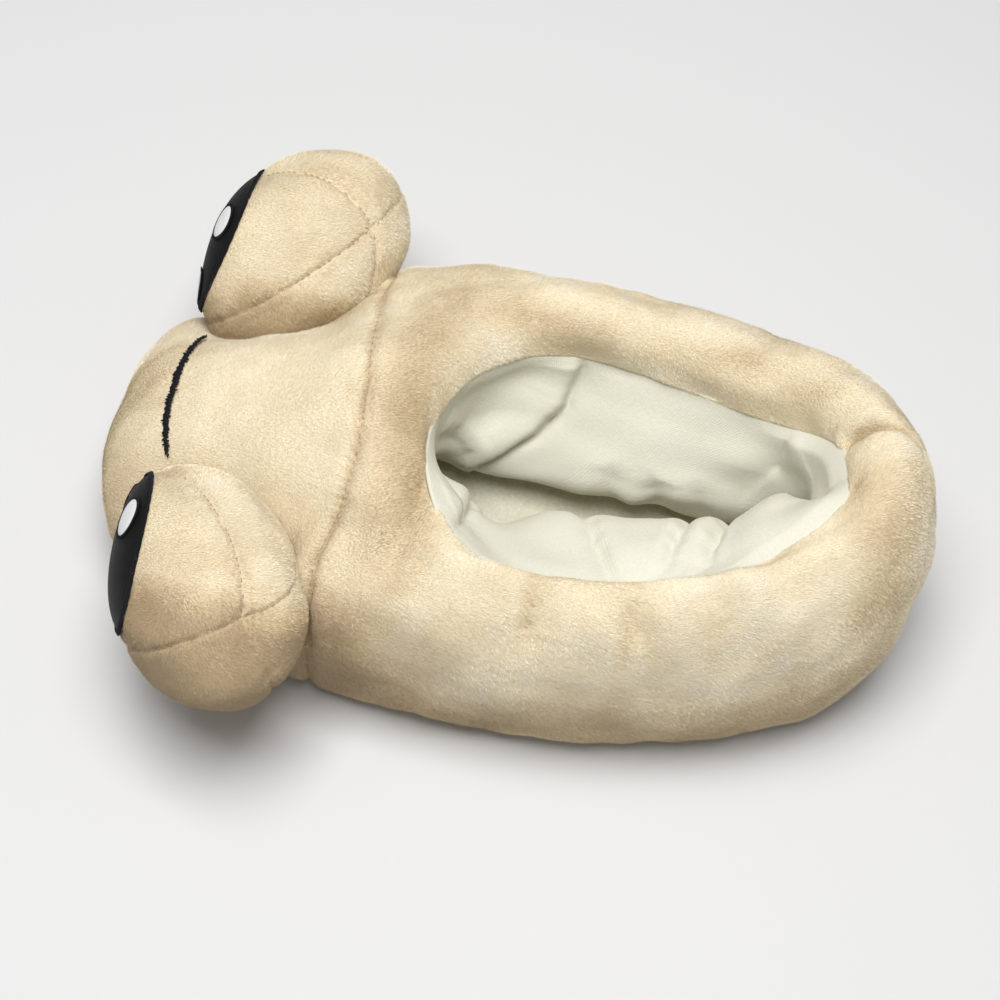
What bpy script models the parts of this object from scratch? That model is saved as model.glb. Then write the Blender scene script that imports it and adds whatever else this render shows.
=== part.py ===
# Plush animal slipper with two stuffed ball eyes, for either foot.
# Metres, +Z up, toe towards +X. The origin is on the floor, under the middle of the length.
# The upper is one thick padded shell: a loft through rings that climb its outside, roll over the
# collar and run down the inside to the foot. It is open at the collar and underneath.

import math

import bmesh
import bpy
from mathutils import Matrix, Vector

# Driving dimensions
LENGTH = 0.280
BALL_WIDTH = 0.158
INSTEP_HEIGHT = 0.090
SIDE_HEIGHT = 0.082
HEEL_HEIGHT = 0.098
TOE_SQUARENESS = 2.75
SIDE_SQUARENESS = 2.2
HEEL_SQUARENESS = 2.35

# Collar edge, where the plush meets the lining: its ends lie forward of the heel
COLLAR_FRONT = 0.168
COLLAR_BACK = 0.033
COLLAR_WIDTH = 0.076
COLLAR_TAPER = 0.42
COLLAR_SQUARENESS = 2.0

# Room for the foot
FOOT_BACK = 0.026
FOOT_LENGTH = 0.230
FOOT_WIDTH = 0.086
FOOT_TAPER = 0.04
FOOT_SQUARENESS = 2.3
PAD_SWELL = 0.023

SOLE_THICKNESS = 0.005
SOLE_INSET = 0.0145
SOLE_EDGE_RADIUS = 0.0018
INSOLE_THICKNESS = 0.004
INSOLE_EDGE_RADIUS = 0.0012
WELT_GAP = 0.0008
WELT_LIFT = 0.0014
PIECE_GAP = 0.0003

# Eyes: the long axis of each ball points outwards and back
EYE_LENGTH = 0.088
EYE_WIDTH = 0.061
EYE_HEIGHT = 0.061
EYE_FORWARD = 0.230
EYE_APART = 0.137
EYE_UP = 0.060
EYE_TURN = math.radians(-56)
EYE_LIFT = math.radians(5)
# The stiff embroidery flattens the front of a ball, so that it ends near this distance from the centre
EYE_FRONT = 0.033
EYE_FRONT_FIRMNESS = 6
EYE_SEAT_GAP = 0.0005
# The muzzle dips under each ball, by this share of its height
EYE_DIP = 0.30
EYE_DIP_FORWARD = 0.233
EYE_DIP_APART = 0.104
EYE_DIP_LENGTH = 0.040
EYE_DIP_WIDTH = 0.029
# How far into a ball, as a share of its half sizes, the body's surface stays, and how firmly it is held
EYE_SEAT = 0.93
EYE_SEAT_FIRMNESS = 8

# Embroidered eye patch on the front of each ball, measured along its curve
PATCH_WIDTH = 0.062
PATCH_HEIGHT = 0.052
PATCH_LIFT = math.radians(15)
PATCH_THICKNESS = 0.0010

# Embroidered mouth across the toe
MOUTH_LENGTH = 0.060
MOUTH_UP = 4.45
MOUTH_WIDTH = 0.0032
MOUTH_THICKNESS = 0.0010

AROUND = 72
STEPS = 3

# Rings of the outside, from the floor up to the collar edge.
# in_: way in from the widest outline to the collar edge. z_: share of the instep, side or heel height.
OUTER_COLUMNS = ("name", "in_toe", "in_side", "in_heel", "z_toe", "z_side", "z_heel")
OUTER_RINGS = (
    ("low", 0.030, 0.110, 0.130, 0.120, 0.110, 0.095),
    ("widest", 0.000, 0.000, 0.000, 0.360, 0.440, 0.400),
    ("flank", 0.025, 0.060, 0.050, 0.540, 0.700, 0.660),
    ("shoulder", 0.120, 0.230, 0.200, 0.690, 0.890, 0.860),
    ("brow", 0.350, 0.460, 0.400, 0.830, 0.985, 0.965),
    ("crest", 0.720, 0.660, 0.600, 1.000, 1.000, 1.000),
    ("roll", 0.930, 0.870, 0.830, 0.960, 0.930, 0.965),
    ("collar_edge", 1.000, 1.000, 1.000, 0.790, 0.770, 0.880),
)
# Rings of the inside, from the collar edge down to the insole.
# in_: way from the collar edge to the foot's outline. swell: share of PAD_SWELL by which the padding bulges in.
INNER_COLUMNS = ("name", "in_toe", "in_side", "in_heel", "swell", "z_toe", "z_side", "z_heel")
INNER_RINGS = (
    ("throat", 0.030, 0.100, 0.100, 0.450, 0.650, 0.640, 0.720),
    ("ceiling", 0.350, 0.300, 0.300, 1.000, 0.590, 0.510, 0.560),
    ("bulge", 0.720, 0.600, 0.600, 0.900, 0.500, 0.360, 0.400),
    ("wall", 0.960, 0.900, 0.900, 0.350, 0.290, 0.200, 0.220),
)


def sign_power(value, power):
    """A power that keeps the sign of its base."""
    return math.copysign(abs(value) ** power, value)


def blended(angle, toe, side, heel):
    """The toe, side or heel value, turning smoothly from one to the next round the shoe."""
    share = math.cos(angle) ** 2
    return side + (toe - side if math.cos(angle) > 0 else heel - side) * share


def outline(angle, back, front, width, taper, squareness):
    """A point of an oval in plan. back and front lie forward of the heel's end."""
    along = sign_power(math.cos(angle), 2 / squareness)
    across = sign_power(math.sin(angle), 2 / squareness)
    middle = (back + front) / 2 - LENGTH / 2
    return Vector((middle + (front - back) / 2 * along, width / 2 * across * (1 + taper * along), 0))


def body_outline(angle, inset=0.0):
    """The shoe's widest outline in plan, drawn in by inset."""
    squareness = blended(angle, TOE_SQUARENESS, SIDE_SQUARENESS, HEEL_SQUARENESS)
    return outline(angle, inset, LENGTH - inset, BALL_WIDTH - 2 * inset, 0, squareness)


def collar_outline(angle):
    return outline(angle, COLLAR_BACK, COLLAR_FRONT, COLLAR_WIDTH, COLLAR_TAPER, COLLAR_SQUARENESS)


def foot_outline(angle, inset=0.0):
    """The inside at the insole, drawn in by inset."""
    front = FOOT_BACK + FOOT_LENGTH
    return outline(
        angle, FOOT_BACK + inset, front - inset, FOOT_WIDTH - 2 * inset, FOOT_TAPER, FOOT_SQUARENESS
    )


def eye_frame(side):
    """Where the ball of one eye sits: its centre, with its long axis along local X. side is 1 on the left."""
    turn = Matrix.Rotation(side * EYE_TURN, 4, "Z") @ Matrix.Rotation(EYE_LIFT, 4, "Y")
    return Matrix.Translation((EYE_FORWARD - LENGTH / 2, side * EYE_APART / 2, EYE_UP)) @ turn


def eye_radii(lift=0.0):
    return Vector((EYE_LENGTH / 2 + lift, EYE_WIDTH / 2 + lift, EYE_HEIGHT / 2 + lift))


def dipped(point):
    """A point of the outside, lowered where the muzzle slopes away under the balls."""
    along = (point.x + LENGTH / 2 - EYE_DIP_FORWARD) / EYE_DIP_LENGTH
    dip = 0.0
    for side in (1, -1):
        across = (point.y - side * EYE_DIP_APART / 2) / EYE_DIP_WIDTH
        dip += EYE_DIP * math.exp(-(along**2) - across**2)
    return Vector((point.x, point.y, point.z * (1 - dip)))


def dented(point):
    """A point of the outside, pushed out of both balls: each rests in a soft dent of the padding."""
    point = dipped(point)
    for side in (1, -1):
        frame, radii = eye_frame(side), eye_radii()
        local = frame.inverted() @ point
        depth = math.sqrt(sum((local[i] / radii[i]) ** 2 for i in range(3)))
        held = (depth**EYE_SEAT_FIRMNESS + EYE_SEAT**EYE_SEAT_FIRMNESS) ** (1 / EYE_SEAT_FIRMNESS)
        if depth > 0:
            point = frame @ (local * held / depth)
    return point


def ring_height(angle, row):
    return blended(
        angle, row["z_toe"] * INSTEP_HEIGHT, row["z_side"] * SIDE_HEIGHT, row["z_heel"] * HEEL_HEIGHT
    )


def outer_controls(angle):
    """The points of the outside at one angle, from the welt to the collar edge."""
    points = [body_outline(angle, SOLE_INSET - WELT_GAP) + Vector((0, 0, WELT_LIFT))]
    for values in OUTER_RINGS:
        row = dict(zip(OUTER_COLUMNS, values))
        way = blended(angle, row["in_toe"], row["in_side"], row["in_heel"])
        point = body_outline(angle).lerp(collar_outline(angle), way)
        point.z = ring_height(angle, row)
        points.append(point)
    return points


def inner_controls(angle):
    """The points of the inside at one angle, from below the collar edge to the insole."""
    inwards = -Vector((math.cos(angle), math.sin(angle), 0))
    points = []
    for values in INNER_RINGS:
        row = dict(zip(INNER_COLUMNS, values))
        way = blended(angle, row["in_toe"], row["in_side"], row["in_heel"])
        side_share = math.sin(angle) ** 2
        point = collar_outline(angle).lerp(foot_outline(angle), way)
        point += inwards * PAD_SWELL * row["swell"] * side_share
        point.z = ring_height(angle, row)
        points.append(point)
    top = foot_outline(angle)
    top.z = SOLE_THICKNESS + INSOLE_THICKNESS
    return points + [top]


def smooth_run(controls, steps):
    """A smooth curve through the controls, with steps points to each stretch."""
    first = controls[0] * 2 - controls[1]
    last = controls[-1] * 2 - controls[-2]
    held = [first, *controls, last]
    points = []
    for a, b, c, d in zip(held, held[1:], held[2:], held[3:]):
        for step in range(steps):
            t = step / steps
            points.append(
                (b * 2 + (c - a) * t + (a * 2 - b * 5 + c * 4 - d) * t**2 + (b * 3 - a - c * 3 + d) * t**3) / 2
            )
    return points + [controls[-1].copy()]


def upper_profile(angle):
    """One closed section of the upper's wall: up the outside, over the collar, down the inside, under."""
    seat = SOLE_THICKNESS + PIECE_GAP
    foot = foot_outline(angle) + Vector((0, 0, seat))
    rebate = body_outline(angle, SOLE_INSET - WELT_GAP) + Vector((0, 0, seat))
    under = foot.lerp(rebate, 0.5)
    run = smooth_run(outer_controls(angle) + inner_controls(angle), STEPS)
    outside = len(OUTER_RINGS) * STEPS
    return [dented(point) for point in run[:outside]] + run[outside:] + [foot, under, rebate]


def angles(count):
    return [2 * math.pi * i / count for i in range(count)]


def mesh_of(name, points, faces):
    mesh = bpy.data.meshes.new(name)
    mesh.from_pydata([tuple(p) for p in points], [], faces)
    mesh.validate()
    return mesh


def finish(obj, material, smooth=True):
    """Turns the faces outwards, shades them and gives the piece its material."""
    shape = bmesh.new()
    shape.from_mesh(obj.data)
    bmesh.ops.recalc_face_normals(shape, faces=shape.faces)
    shape.to_mesh(obj.data)
    shape.free()
    obj.data.materials.append(material)
    if smooth:
        obj.data.shade_smooth()
        obj.data.set_sharp_from_angle(angle=math.radians(50))
    return obj


def band_faces(rings, around, closed):
    """Triangles between rings of the same count, which close into a loop if closed."""
    last = rings if closed else rings - 1
    faces = []
    for i in range(last):
        for j in range(around):
            k = (j + 1) % around
            below, above = i * around, (i + 1) % rings * around
            faces += [(below + j, below + k, above + k), (below + j, above + k, above + j)]
    return faces


def new_object(name, mesh, collection):
    obj = bpy.data.objects.new(name, mesh)
    collection.objects.link(obj)
    return obj


def material(name, colour, roughness):
    made = bpy.data.materials.new(name)
    made.use_nodes = True
    shader = made.node_tree.nodes["Principled BSDF"]
    shader.inputs["Base Color"].default_value = (*colour, 1)
    shader.inputs["Roughness"].default_value = roughness
    shader.inputs["Metallic"].default_value = 0
    return made


def make_upper(collection, plush):
    sections = [upper_profile(angle) for angle in angles(AROUND)]
    rings = len(sections[0])
    points = [sections[j][i] for i in range(rings) for j in range(AROUND)]
    mesh = mesh_of("upper", points, band_faces(rings, AROUND, True))
    return finish(new_object("upper", mesh, collection), plush)


def make_plate(name, edge, bottom, thickness, radius, collection, finish_material):
    """A flat plate with rounded edges inside the plan outline that edge gives."""
    flat = bpy.data.curves.new(name, "CURVE")
    flat.dimensions = "2D"
    flat.fill_mode = "BOTH"
    flat.extrude = thickness / 2
    spline = flat.splines.new("POLY")
    spline.points.add(AROUND - 1)
    for point, angle in zip(spline.points, angles(AROUND)):
        point.co = (*edge(angle).xy, 0, 1)
    spline.use_cyclic_u = True
    shape = new_object(name + "_outline", flat, collection)
    shape.location.z = bottom + thickness / 2
    bpy.context.view_layer.update()
    mesh = bpy.data.meshes.new_from_object(shape.evaluated_get(bpy.context.evaluated_depsgraph_get()))
    place = shape.matrix_world.copy()
    bpy.data.objects.remove(shape)
    weld = bmesh.new()
    weld.from_mesh(mesh)
    bmesh.ops.remove_doubles(weld, verts=weld.verts, dist=1e-5)
    bmesh.ops.dissolve_limit(weld, angle_limit=math.radians(1), verts=weld.verts, edges=weld.edges)
    rims = [e for e in weld.edges if abs(e.verts[0].co.z - e.verts[1].co.z) < 1e-6]
    bmesh.ops.bevel(weld, geom=rims, offset=radius, segments=2, profile=0.5, affect="EDGES")
    bmesh.ops.triangulate(weld, faces=weld.faces)
    weld.to_mesh(mesh)
    weld.free()
    plate = new_object(name, mesh, collection)
    plate.matrix_world = place
    return finish(plate, finish_material)


def make_sole(collection, cloth):
    def edge(angle):
        return body_outline(angle, SOLE_INSET)

    return make_plate("outsole", edge, 0, SOLE_THICKNESS, SOLE_EDGE_RADIUS, collection, cloth)


def make_insole(collection, felt):
    def edge(angle):
        return foot_outline(angle, 3 * PIECE_GAP)

    seat = SOLE_THICKNESS + PIECE_GAP
    return make_plate("insole", edge, seat, INSOLE_THICKNESS, INSOLE_EDGE_RADIUS, collection, felt)


def body_form(grow, collection):
    """The closed outer form of the shoe, grown by a little, as a cutter for what is sewn onto it."""
    outside = len(OUTER_RINGS) * STEPS
    sections = [upper_profile(angle)[:outside] for angle in angles(AROUND)]
    rings = len(sections[0])
    points = [sections[j][i] for i in range(rings) for j in range(AROUND)]
    faces = band_faces(rings, AROUND, False)
    faces.append(tuple(reversed(range(AROUND))))
    faces.append(tuple(range((rings - 1) * AROUND, rings * AROUND)))
    shape = bmesh.new()
    shape.from_mesh(mesh_of("body_form", points, faces))
    bmesh.ops.triangulate(shape, faces=[f for f in shape.faces if len(f.verts) > 4])
    bmesh.ops.recalc_face_normals(shape, faces=shape.faces)
    shape.normal_update()
    for vertex, normal in [(v, v.normal.copy()) for v in shape.verts]:
        vertex.co += normal * grow
    mesh = bpy.data.meshes.new("body_form")
    shape.to_mesh(mesh)
    shape.free()
    cutter = new_object("body_form", mesh, collection)
    cutter.hide_render = True
    cutter.display_type = "WIRE"
    return cutter


def eye_surface(side, direction, lift=0.0):
    """The point of one ball, grown by lift, that faces a direction from its centre."""
    frame, radii = eye_frame(side), eye_radii(lift)
    local = frame.to_3x3().transposed() @ direction
    scale = math.sqrt(sum((local[i] / radii[i]) ** 2 for i in range(3)))
    point = direction / scale
    if point.x > 0:
        ahead = (point.x / (EYE_FRONT + lift)) ** EYE_FRONT_FIRMNESS
        point.x /= (1 + ahead) ** (1 / EYE_FRONT_FIRMNESS)
    return frame.translation + point


def make_eye(side, name, body, collection, plush):
    """A stuffed ball, seated on the shoe by cutting away what would lie inside it."""
    ball = bmesh.new()
    bmesh.ops.create_uvsphere(ball, u_segments=26, v_segments=18, radius=1)
    # The sphere's poles go to the ends of the long axis.
    stand = (eye_frame(side) @ Matrix.Rotation(math.pi / 2, 4, "Y")).to_3x3()
    for vertex in ball.verts:
        vertex.co = eye_surface(side, stand @ vertex.co)
    mesh = bpy.data.meshes.new(name)
    ball.to_mesh(mesh)
    ball.free()
    eye = finish(new_object(name, mesh, collection), plush)
    cut = eye.modifiers.new("seat", "BOOLEAN")
    cut.operation = "DIFFERENCE"
    cut.object = body
    return eye


def make_patch(side, name, collection, thread):
    """An oval of embroidery on the front of one ball, as an open surface given its thickness."""
    rings, around = 5, 32
    lifted = 1.5 * PIECE_GAP
    radius = (EYE_LENGTH + EYE_WIDTH) / 4
    lift = Matrix.Rotation(-PATCH_LIFT, 3, "Y")
    points = [eye_surface(side, lift @ Vector((1, 0, 0)), lifted)]
    for ring in range(1, rings + 1):
        for angle in angles(around):
            across = ring / rings * PATCH_WIDTH / 2 / radius * math.cos(angle)
            up = ring / rings * PATCH_HEIGHT / 2 / radius * math.sin(angle)
            away = math.hypot(across, up)
            direction = Vector((math.cos(away), across / away * math.sin(away), up / away * math.sin(away)))
            points.append(eye_surface(side, lift @ direction, lifted))
    faces = [(0, 1 + j, 1 + (j + 1) % around) for j in range(around)]
    faces += [tuple(1 + i for i in face) for face in band_faces(rings, around, False)]
    return sewn_on(name, points, faces, PATCH_THICKNESS, collection, thread)


def sewn_on(name, points, faces, thickness, collection, thread):
    """A sheet of stitches that faces forwards, given its thickness outwards."""
    sheet = finish(new_object(name, mesh_of(name, points, faces), collection), thread)
    if sum(face.normal.x for face in sheet.data.polygons) < 0:
        sheet.data.flip_normals()
    shell = sheet.modifiers.new("thread", "SOLIDIFY")
    shell.thickness = thickness
    shell.offset = 1
    return sheet


def outer_point(angle, height):
    """A point of the outside. height counts the rings of outer_controls, from the welt up."""
    controls = outer_controls(angle)
    run = smooth_run(controls, 24)
    return dented(run[round(height * 24)])


def make_mouth(collection, thread):
    """A line of satin stitch that follows the outside across the toe."""
    count, rows = 26, (-0.5, 0.0, 0.5)
    spread = math.asin((MOUTH_LENGTH / BALL_WIDTH) ** (TOE_SQUARENESS / 2))
    points = []
    for i in range(count + 1):
        share = 2 * i / count - 1
        angle = share * spread
        middle = outer_point(angle, MOUTH_UP)
        up = (outer_point(angle, MOUTH_UP + 0.1) - outer_point(angle, MOUTH_UP - 0.1)).normalized()
        along = (outer_point(angle + 0.02, MOUTH_UP) - outer_point(angle - 0.02, MOUTH_UP)).normalized()
        out = along.cross(up)
        narrow = math.sqrt(1 - 0.9 * share**4)
        for row in rows:
            points.append(middle + up * row * MOUTH_WIDTH * narrow + out * 2 * PIECE_GAP)
    across = len(rows)
    faces = []
    for i in range(count):
        for j in range(across - 1):
            start = i * across + j
            faces.append((start, start + across, start + across + 1, start + 1))
    return sewn_on("mouth", points, faces, MOUTH_THICKNESS, collection, thread)


def main():
    for obj in list(bpy.data.objects):
        bpy.data.objects.remove(obj)
    slipper = bpy.data.collections.new("animal_slipper")
    cutters = bpy.data.collections.new("cutters")
    for collection in (slipper, cutters):
        bpy.context.scene.collection.children.link(collection)
    plush = material("plush", (0.83, 0.68, 0.47), 0.9)
    felt = material("insole_felt", (0.42, 0.42, 0.38), 0.95)
    cloth = material("sole_cloth", (0.66, 0.58, 0.47), 0.85)
    thread = material("black_thread", (0.01, 0.01, 0.012), 0.6)
    make_sole(slipper, cloth)
    make_insole(slipper, felt)
    make_upper(slipper, plush)
    body = body_form(EYE_SEAT_GAP, cutters)
    for side, name in ((1, "left"), (-1, "right")):
        make_eye(side, "eye_" + name, body, slipper, plush)
        make_patch(side, "eye_patch_" + name, slipper, thread)
    make_mouth(slipper, thread)


main()
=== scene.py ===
"""Looks of a plush animal slipper: short pile over soft padding, a folded lining and stitched eyes.

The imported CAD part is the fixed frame. Each class below builds one sub-assembly on it, in metres, with the
toe towards +X and +Z up, and dresses it in its finish.
"""

from __future__ import annotations

import logging
import math
from dataclasses import dataclass, field
from enum import Enum
from typing import ClassVar, Iterable, Sequence

import bmesh
import bpy
import numpy as np
from mathutils import Matrix, Vector

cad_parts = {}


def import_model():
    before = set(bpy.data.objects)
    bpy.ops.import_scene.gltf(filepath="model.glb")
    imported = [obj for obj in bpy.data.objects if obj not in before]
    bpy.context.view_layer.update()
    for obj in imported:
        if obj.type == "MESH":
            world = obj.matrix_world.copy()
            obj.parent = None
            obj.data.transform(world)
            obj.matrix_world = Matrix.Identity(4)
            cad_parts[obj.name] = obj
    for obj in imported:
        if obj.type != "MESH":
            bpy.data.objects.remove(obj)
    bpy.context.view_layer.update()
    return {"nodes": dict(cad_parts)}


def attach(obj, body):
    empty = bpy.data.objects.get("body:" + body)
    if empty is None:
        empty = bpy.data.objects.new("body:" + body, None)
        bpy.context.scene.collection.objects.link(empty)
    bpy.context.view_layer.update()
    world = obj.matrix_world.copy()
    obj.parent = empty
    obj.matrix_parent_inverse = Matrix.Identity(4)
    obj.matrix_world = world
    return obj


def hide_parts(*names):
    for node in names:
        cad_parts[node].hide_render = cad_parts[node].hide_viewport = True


LOG = logging.getLogger("slipper")
BODY = "root"
MM = 0.001
TINY = 1e-6
THREAD_MAP = "Threads"
CLOTH_MAP = "Cloth"
CARRIED = ("tint", "pile", "nap", "warm", "across", "size")
Colour = tuple[float, float, float]


class Side(Enum):
    """Which half of the slipper a piece is on, as the sign of its Y."""

    LEFT = 1
    RIGHT = -1


# Small sums that the shapes share


def full_turn(count: int) -> np.ndarray:
    """Angles at even steps once round, from 0."""
    return np.linspace(0, 2 * math.pi, count, endpoint=False)


def unit(vectors: np.ndarray) -> np.ndarray:
    """Vectors drawn to a length of 1."""
    return vectors / np.maximum(np.linalg.norm(vectors, axis=-1, keepdims=True), 1e-12)


def bell(distance: np.ndarray, width: float) -> np.ndarray:
    """1 at no distance, and fading smoothly to nothing past the width."""
    return np.exp(-((distance / width) ** 2))


def fade(value: np.ndarray, start: np.ndarray | float, end: np.ndarray | float) -> np.ndarray:
    """0 up to start, 1 from end on, and even in between."""
    return np.clip((value - start) / (end - start), 0, 1)


def along_surface(way: np.ndarray, normals: np.ndarray) -> np.ndarray:
    """Directions laid flat on a surface, as a list of unit vectors."""
    return unit(way - normals * np.sum(way * normals, -1, keepdims=True)).reshape(-1, 3)


def nearest(points: np.ndarray, spots: np.ndarray) -> np.ndarray:
    """The number of the point that lies nearest to each spot."""
    flat = points.reshape(-1, 3)
    return np.array([np.argmin(((flat - spot) ** 2).sum(1)) for spot in spots])


# The slipper's form, from the sizes that its solids were drawn with


@dataclass(frozen=True)
class Ring:
    """One ring of the loft: values at the toe, the side and the heel, and how each wall's soft cloth slumps.

    A slump is a move outwards and a move upwards from the solid's wall, in metres. The hang is the share of
    the way forwards that the cloth gives up at the toe, where it hangs like a curtain over the room inside.
    """

    name: str
    way: tuple[float, float, float]
    height: tuple[float, float, float]
    swell: float = 0.0
    near: tuple[float, float] = (0.0, 0.0)
    far: tuple[float, float] = (0.0, 0.0)
    hang: float = 0.0


OUTER_RINGS = (
    Ring("low", (0.03, 0.11, 0.13), (0.12, 0.11, 0.095)),
    Ring("widest", (0.0, 0.0, 0.0), (0.36, 0.44, 0.4)),
    Ring("flank", (0.025, 0.06, 0.05), (0.54, 0.7, 0.66)),
    Ring("shoulder", (0.12, 0.23, 0.2), (0.69, 0.89, 0.86)),
    Ring("brow", (0.35, 0.46, 0.4), (0.83, 0.985, 0.965)),
    Ring("crest", (0.72, 0.66, 0.6), (1.0, 1.0, 1.0), near=(0.0015, 0.0)),
    Ring("roll", (0.93, 0.87, 0.83), (0.96, 0.93, 0.965), near=(0.008, 0.0)),
    Ring("collar_edge", (1.0, 1.0, 1.0), (0.79, 0.77, 0.88), near=(0.008, 0.007), far=(0.002, 0.001)),
)
INNER_RINGS = (
    Ring("throat", (0.03, 0.1, 0.1), (0.65, 0.64, 0.72), 0.45, (0.006, 0.013), (0.006, 0.003), 0.5),
    Ring("ceiling", (0.35, 0.3, 0.3), (0.55, 0.51, 0.56), 1.0, (0.0, 0.012), (0.007, 0.002), 0.95),
    Ring("bulge", (0.72, 0.6, 0.6), (0.42, 0.36, 0.4), 0.9, (-0.01, 0.011), (-0.006, 0.001), 0.9),
    Ring("wall", (0.96, 0.9, 0.9), (0.27, 0.2, 0.22), 0.35, (-0.019, 0.006), (-0.015, 0.003), 0.6),
)
COLLAR_HEIGHT = 8.0
FLOOR_HEIGHT = 13.0


def eased(angle: np.ndarray, values: Sequence[float]) -> np.ndarray:
    """Turns from the toe's value to the side's and the heel's round the shoe.

    Args:
        angle: the way round the shoe, 0 at the toe and growing towards +Y.
        values: the value at the toe, at the side and at the heel.

    Returns:
        The value at each angle.
    """
    toe, side, heel = values
    share = np.cos(angle) ** 2
    return side + np.where(np.cos(angle) > 0, toe - side, heel - side) * share


@dataclass
class EyeForm:
    """A stuffed ball on the muzzle: an egg, flattened in front by its embroidery."""

    side: Side
    length: float = 0.088
    width: float = 0.061
    height: float = 0.061
    forward: float = 0.230 - 0.280 / 2
    apart: float = 0.137
    up: float = 0.060
    turn: float = math.radians(-56)
    lift: float = math.radians(5)
    front: float = 0.033
    front_firmness: int = 6

    def frame(self) -> Matrix:
        """The ball's place.

        Returns:
            A move to its centre, and a turn that lays local X along its long axis.
        """
        sign = self.side.value
        turned = Matrix.Rotation(sign * self.turn, 4, "Z") @ Matrix.Rotation(self.lift, 4, "Y")
        return Matrix.Translation((self.forward, sign * self.apart / 2, self.up)) @ turned

    def radii(self, lift: float = 0.0) -> np.ndarray:
        """The ball's half sizes, grown by lift."""
        return np.array([self.length, self.width, self.height]) / 2 + lift

    def local(self, points: np.ndarray) -> tuple[np.ndarray, np.ndarray]:
        """Points in the egg's own axes.

        Args:
            points: places in the slipper's axes.

        Returns:
            The places in the egg's axes, and how far out each lies: 1 on the egg's skin.
        """
        local = (points - np.array(self.frame().translation)) @ np.array(self.frame().to_3x3())
        return local, np.linalg.norm(local / self.radii(), axis=-1)

    def placed(self, local: np.ndarray) -> np.ndarray:
        """Places in the egg's own axes, turned into the slipper's."""
        return local @ np.array(self.frame().to_3x3()).T + np.array(self.frame().translation)

    def surface(self, directions: np.ndarray, lift: float = 0.0) -> np.ndarray:
        """Points of the ball.

        Args:
            directions: unit vectors from the ball's centre, in the slipper's axes.
            lift: how far above the ball the points lie.

        Returns:
            The point in each direction.
        """
        local = directions @ np.array(self.frame().to_3x3())
        scale = np.linalg.norm(local / self.radii(lift), axis=-1, keepdims=True)
        points = directions / scale
        ahead = np.maximum(points[..., 0], 0) / (self.front + lift)
        points[..., 0] /= (1 + ahead**self.front_firmness) ** (1 / self.front_firmness)
        return points + np.array(self.frame().translation)


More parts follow.
